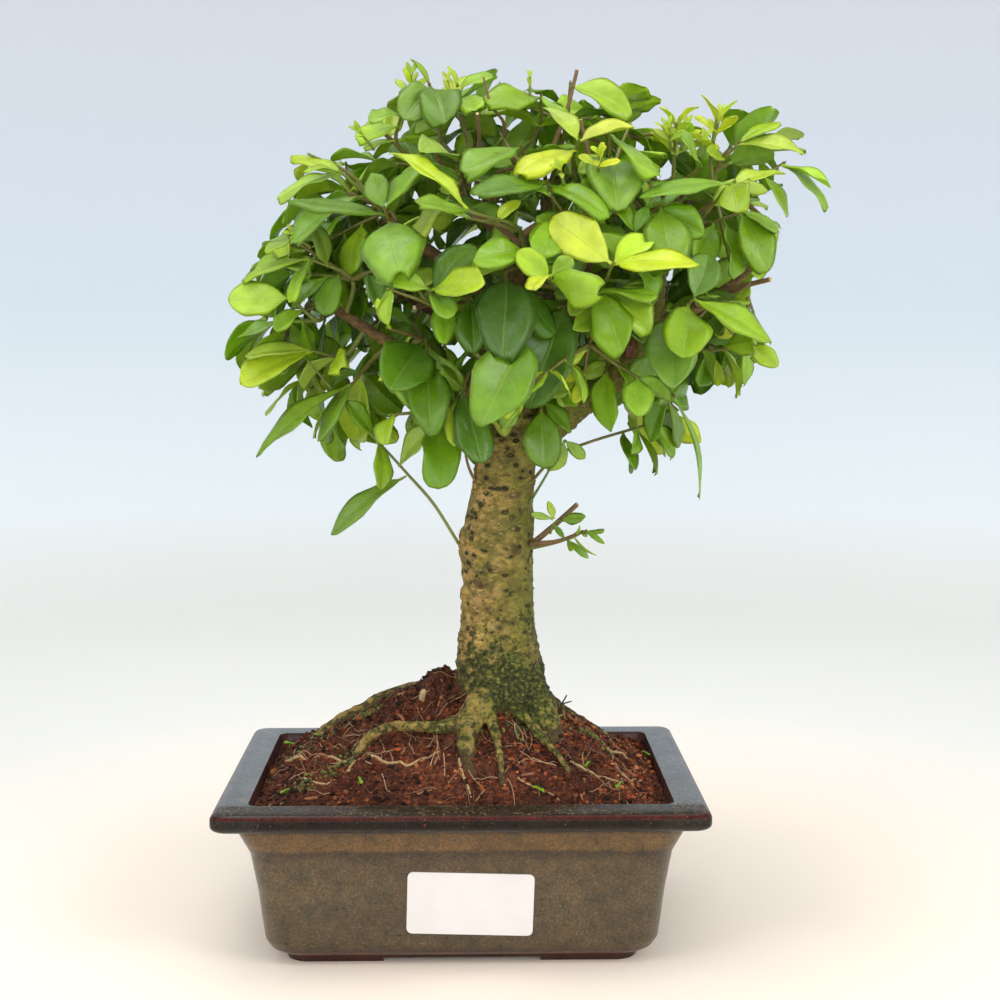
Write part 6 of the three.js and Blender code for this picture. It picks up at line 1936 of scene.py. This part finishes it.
def on_picture_plane(points):
    """x and z where the view through each point crosses the plane through the trunk."""
    points = np.atleast_2d(points)
    share = -CAMERA_POINT[1] / (points[:, 1] - CAMERA_POINT[1])
    flat = CAMERA_POINT + (points - CAMERA_POINT) * share[:, None]
    return flat[:, [0, 2]]


def inside_outline(flat, outline):
    """Whether each x and z lies inside a closed outline."""
    x, z = flat[:, 0], flat[:, 1]
    result = np.zeros(len(flat), bool)
    for (x1, z1), (x2, z2) in zip(outline, outline[1:] + outline[:1]):
        crosses = (z1 > z) != (z2 > z)
        slope = (x2 - x1) * (z - z1) / (z2 - z1 if z2 != z1 else 1e-9) + x1
        result ^= crosses & (x < slope)
    return result


VIEW_CELL = 2.5


def view_cell(x, z):
    """Cell of a grid over the view from the front."""
    return int(x // VIEW_CELL), int(z // VIEW_CELL)


nearest = {}
taken = [leaf_probe(pose) for pose in placed_poses]
for pose in placed_poses:
    dense = leaf_probe(pose, np.linspace(0.15, 0.95, 9), np.linspace(-0.9, 0.9, 7))
    for (fx, fz), y in zip(on_picture_plane(dense), dense[:, 1]):
        cell = view_cell(fx, fz)
        nearest[cell] = min(nearest.get(cell, 1e9), y)
wood_spots = []
for limb in LIMBS.values():
    rows_here = np.array(limb, float)
    for t in np.linspace(0, 1, 5 * len(limb)):
        wood_spots.append(curve_point(rows_here[:, :3], t))
taken_points = np.concatenate(taken + [np.array(wood_spots)])


def hides_front(points):
    """Share of the points that would stand in front of the leaves that are placed one by one."""
    hits = 0
    for (fx, fz), y in zip(on_picture_plane(points), points[:, 1]):
        cell = view_cell(fx, fz)
        if cell in nearest and y < nearest[cell] - 2:
            hits += 1
    return hits / len(points)


def crowded(points):
    """Whether any of the points is too near to a point that is taken."""
    middle = points.mean(axis=0)
    reach = np.abs(points - middle).max() + LEAF_ROOM
    near = taken_points[(np.abs(taken_points - middle) <= reach).all(axis=1)]
    return len(near) > 0 and np.linalg.norm(near[None] - points[:, None], axis=2).min() < LEAF_ROOM


def has_room(points):
    """Whether a leaf with these points stays in the crown, off other leaves and behind the placed ones."""
    return (
        inside_outline(on_picture_plane(points), CROWN_OUTLINE).all()
        and points[:, 2].max() <= CROWN_TOP
        and points[:, 1].min() >= CROWN_FRONT
        and points[:, 1].max() <= CROWN_BACK
        and not crowded(points[3:])
        and hides_front(points) <= COVERING_SHARE
    )


# Places that twigs can grow from
sources = []
for limb in LIMBS.values():
    rows_here = np.array(limb, float)
    for t in np.linspace(0.25, 1, 3 * len(limb)):
        sources.append(curve_point(rows_here[:, :3], t))
sources += [shoot["foot"] for shoot in SHOOTS.values()]
sources = [place for place in sources if place[2] > TWIG_FLOOR]

random_crown = np.random.default_rng(77)
extra = {}
twig_tips = []
for trial in range(TWIG_TRIALS):
    if len(twig_tips) >= TWIGS_WANTED:
        break
    way = random_crown.normal(size=3)
    way = way / np.linalg.norm(way)
    reach = random_crown.uniform(0.25, 1.0) ** 0.5
    goal = CROWN_MIDDLE + way * CROWN_HALF * reach
    if trial < len(FIRST_TIPS):
        goal = np.array(FIRST_TIPS[trial], float)
    if goal[2] < CROWN_FLOOR:
        continue
    if not inside_outline(on_picture_plane(goal), CROWN_OUTLINE)[0]:
        continue
    outwards = unit((goal - CROWN_MIDDLE) / CROWN_HALF)
    gaps = np.linalg.norm(np.array(sources) - goal, axis=1)
    inner = np.array([(goal - place).dot(outwards) for place in sources])
    start = sources[int(np.argmin(gaps + np.where(inner < 0, 40, 0)))]
    span = np.linalg.norm(goal - start)
    if span > TWIG_LONGEST or span < TWIG_SHORTEST:
        continue
    if any(np.linalg.norm(goal - other) < TWIG_ROOM for other in twig_tips):
        continue
    middle = (start + goal) / 2 + random_crown.normal(size=3) * span * 0.06 + (0, 0, -0.04 * span)
    along = unit(goal - middle)
    twig_rows = [(*start, 1.0), (*middle, 0.85), (*goal, 0.5)]
    centres = np.array([start, middle, goal])
    leaf_length = random_crown.uniform(17, 27)
    # Leaves deeper in the crown get a darker green: partly older leaves, partly painted shade inside the
    # crown.
    depth_share = np.linalg.norm((goal - CROWN_MIDDLE) / CROWN_HALF)
    tone = 0.12 + 0.38 * depth_share + random_crown.uniform(-0.12, 0.16)
    fresh = random_crown.random() < 0.16 * depth_share
    if fresh:
        tone += 0.3
    poses_here = []
    for pair in range(2 + int(span > 26) + int(span > 40)):
        t = 1 - pair * PAIR_SPACING / span - 0.03
        if t < 0.25:
            break
        root = curve_point(centres, t)
        level = np.cross(along, UP)
        level = unit(level) if np.linalg.norm(level) > 0.05 else np.array([1.0, 0, 0])
        rising = np.cross(level, along)
        roll = (pair % 2) * 1.35 + random_crown.uniform(-0.3, 0.3)
        for side in (-1, 1):
            for attempt in range(TWIG_LEAF_TRIES):
                unrest = 0.25 + 0.18 * attempt
                jig = random_crown.uniform(-unrest, unrest, 6)
                axis = level * side * math.cos(roll + jig[0]) + rising * side * math.sin(roll + jig[0])
                spread = (0.75 if pair == 0 else 1.05) + jig[1]
                midrib = unit(along * math.cos(spread) + axis * math.sin(spread) + UP * (-0.45 + jig[2]))
                face = outwards * 0.7 + UP * 0.75 + jig[3:6]
                length = leaf_length * (0.86 if pair == 0 else 1) * (1 - 0.07 * attempt)
                numbers = random_numbers(int(random_crown.integers(1 << 30)))
                half_width = length * LEAF_ASPECT * random_crown.uniform(0.43, 0.54)
                pose = bent_leaf(root, midrib, face, length, half_width, numbers)
                probe = leaf_probe(pose)
                if has_room(probe):
                    poses_here.append((pose, tone + (0.08 if pair == 0 else 0)))
                    taken_points = np.concatenate([taken_points, probe])
                    break
    if len(poses_here) < 2:
        continue
    slot = "leaf_young" if fresh else "leaf_mature"
    side_name = "left" if goal[0] < -8 else "right" if goal[0] > 62 else "centre"
    depth_name = "front" if goal[1] < -14 else "back" if goal[1] > 34 else "middle"
    key = (f"filling_{depth_name}_{side_name}", slot)
    if key not in extra:
        extra[key] = Foliage()
    group = extra[key]
    brown = 0.35 + 0.5 * random_crown.random()
    group.stem(twig_rows, STEM_BROWN * brown + STEM_GREEN * (1 - brown), 6, 6, trial)
    group.bud(goal, along, 0.8, STEM_GREEN)
    for pose, leaf_tone in poses_here:
        group.leaf(pose, leaf_tone, random_crown, fewer=True)
    twig_tips.append(goal)
    if span > 20:
        sources.append(middle)

# Look of the leaves: a midrib and veins that are paler than the blade, and light that comes through
leaf_look = Shading("leaf_skin")
blade_place = leaf_look.node("UVMap", uv_map="blade").outputs[0]
along_blade = leaf_look.axis(blade_place, "X")
across_blade = leaf_look.axis(blade_place, "Y")
tint = leaf_look.tint()
off_midrib = leaf_look.math("ABSOLUTE", leaf_look.minus(across_blade, 0.5))
midrib_line = leaf_look.ramp(off_midrib, [(0.008, 1.0), (0.026, 0.0)])
vein_slant = leaf_look.times(off_midrib, -5.2)
vein_phase = leaf_look.plus(leaf_look.times(along_blade, 7.5), vein_slant)
vein_phase = leaf_look.plus(vein_phase, leaf_look.times(leaf_look.noise(4, 2), 0.8))
vein_share = leaf_look.math("FRACT", vein_phase)
vein_line = leaf_look.ramp(vein_share, [(0.0, 1.0), (0.09, 0.0), (0.93, 0.0), (1.0, 1.0)])
vein_line = leaf_look.times(vein_line, leaf_look.ramp(off_midrib, [(0.3, 0.5), (0.47, 0.0)]))
edge_line = leaf_look.ramp(off_midrib, [(0.468, 0.0), (0.495, 1.0)])
blotch = leaf_look.ramp(leaf_look.noise(7, 3), [(0.3, 0.84), (0.7, 1.14)])
coloured = leaf_look.shaded(tint, blotch)
lighter = leaf_look.mix(0.42, tint, srgb(190, 208, 96))
coloured = leaf_look.cover(coloured, lighter, midrib_line, 0.5)
coloured = leaf_look.cover(coloured, lighter, vein_line, 0.3)
coloured = leaf_look.cover(coloured, lighter, edge_line, 0.6)
veins = leaf_look.plus(midrib_line, leaf_look.times(vein_line, 0.8))
relief = leaf_look.minus(leaf_look.times(leaf_look.noise(2.2, 3), 0.7), veins)
leaf_normal = leaf_look.bump(relief, 0.2, 0.6)
leaf_look.set(
    Base_Color=coloured,
    Roughness=leaf_look.ramp(leaf_look.noise(5, 3), [(0.3, 0.22), (0.7, 0.36)]),
    Specular_IOR_Level=0.52,
    Normal=leaf_normal,
)
through = leaf_look.node("BsdfTranslucent", {
    "Color": leaf_look.shaded(coloured, (1.0, 1.0, 0.5)), "Normal": leaf_normal,
})
both = leaf_look.node("MixShader", {0: 0.3, 1: leaf_look.shader.outputs[0], 2: through.outputs[0]})
leaf_look.link(both.outputs[0], leaf_look.output.inputs[0])

piece(small_growth.build("foliage_small_growth_young"), leaf_look.material, "leaf_young")
for (region, slot), (group, members) in foliage.items():
    piece(group.build(f"foliage_{region}_{slot[5:]}"), leaf_look.material, slot, members)
for (region, slot), group in extra.items():
    piece(group.build(f"foliage_{region}_{slot[5:]}"), leaf_look.material, slot)
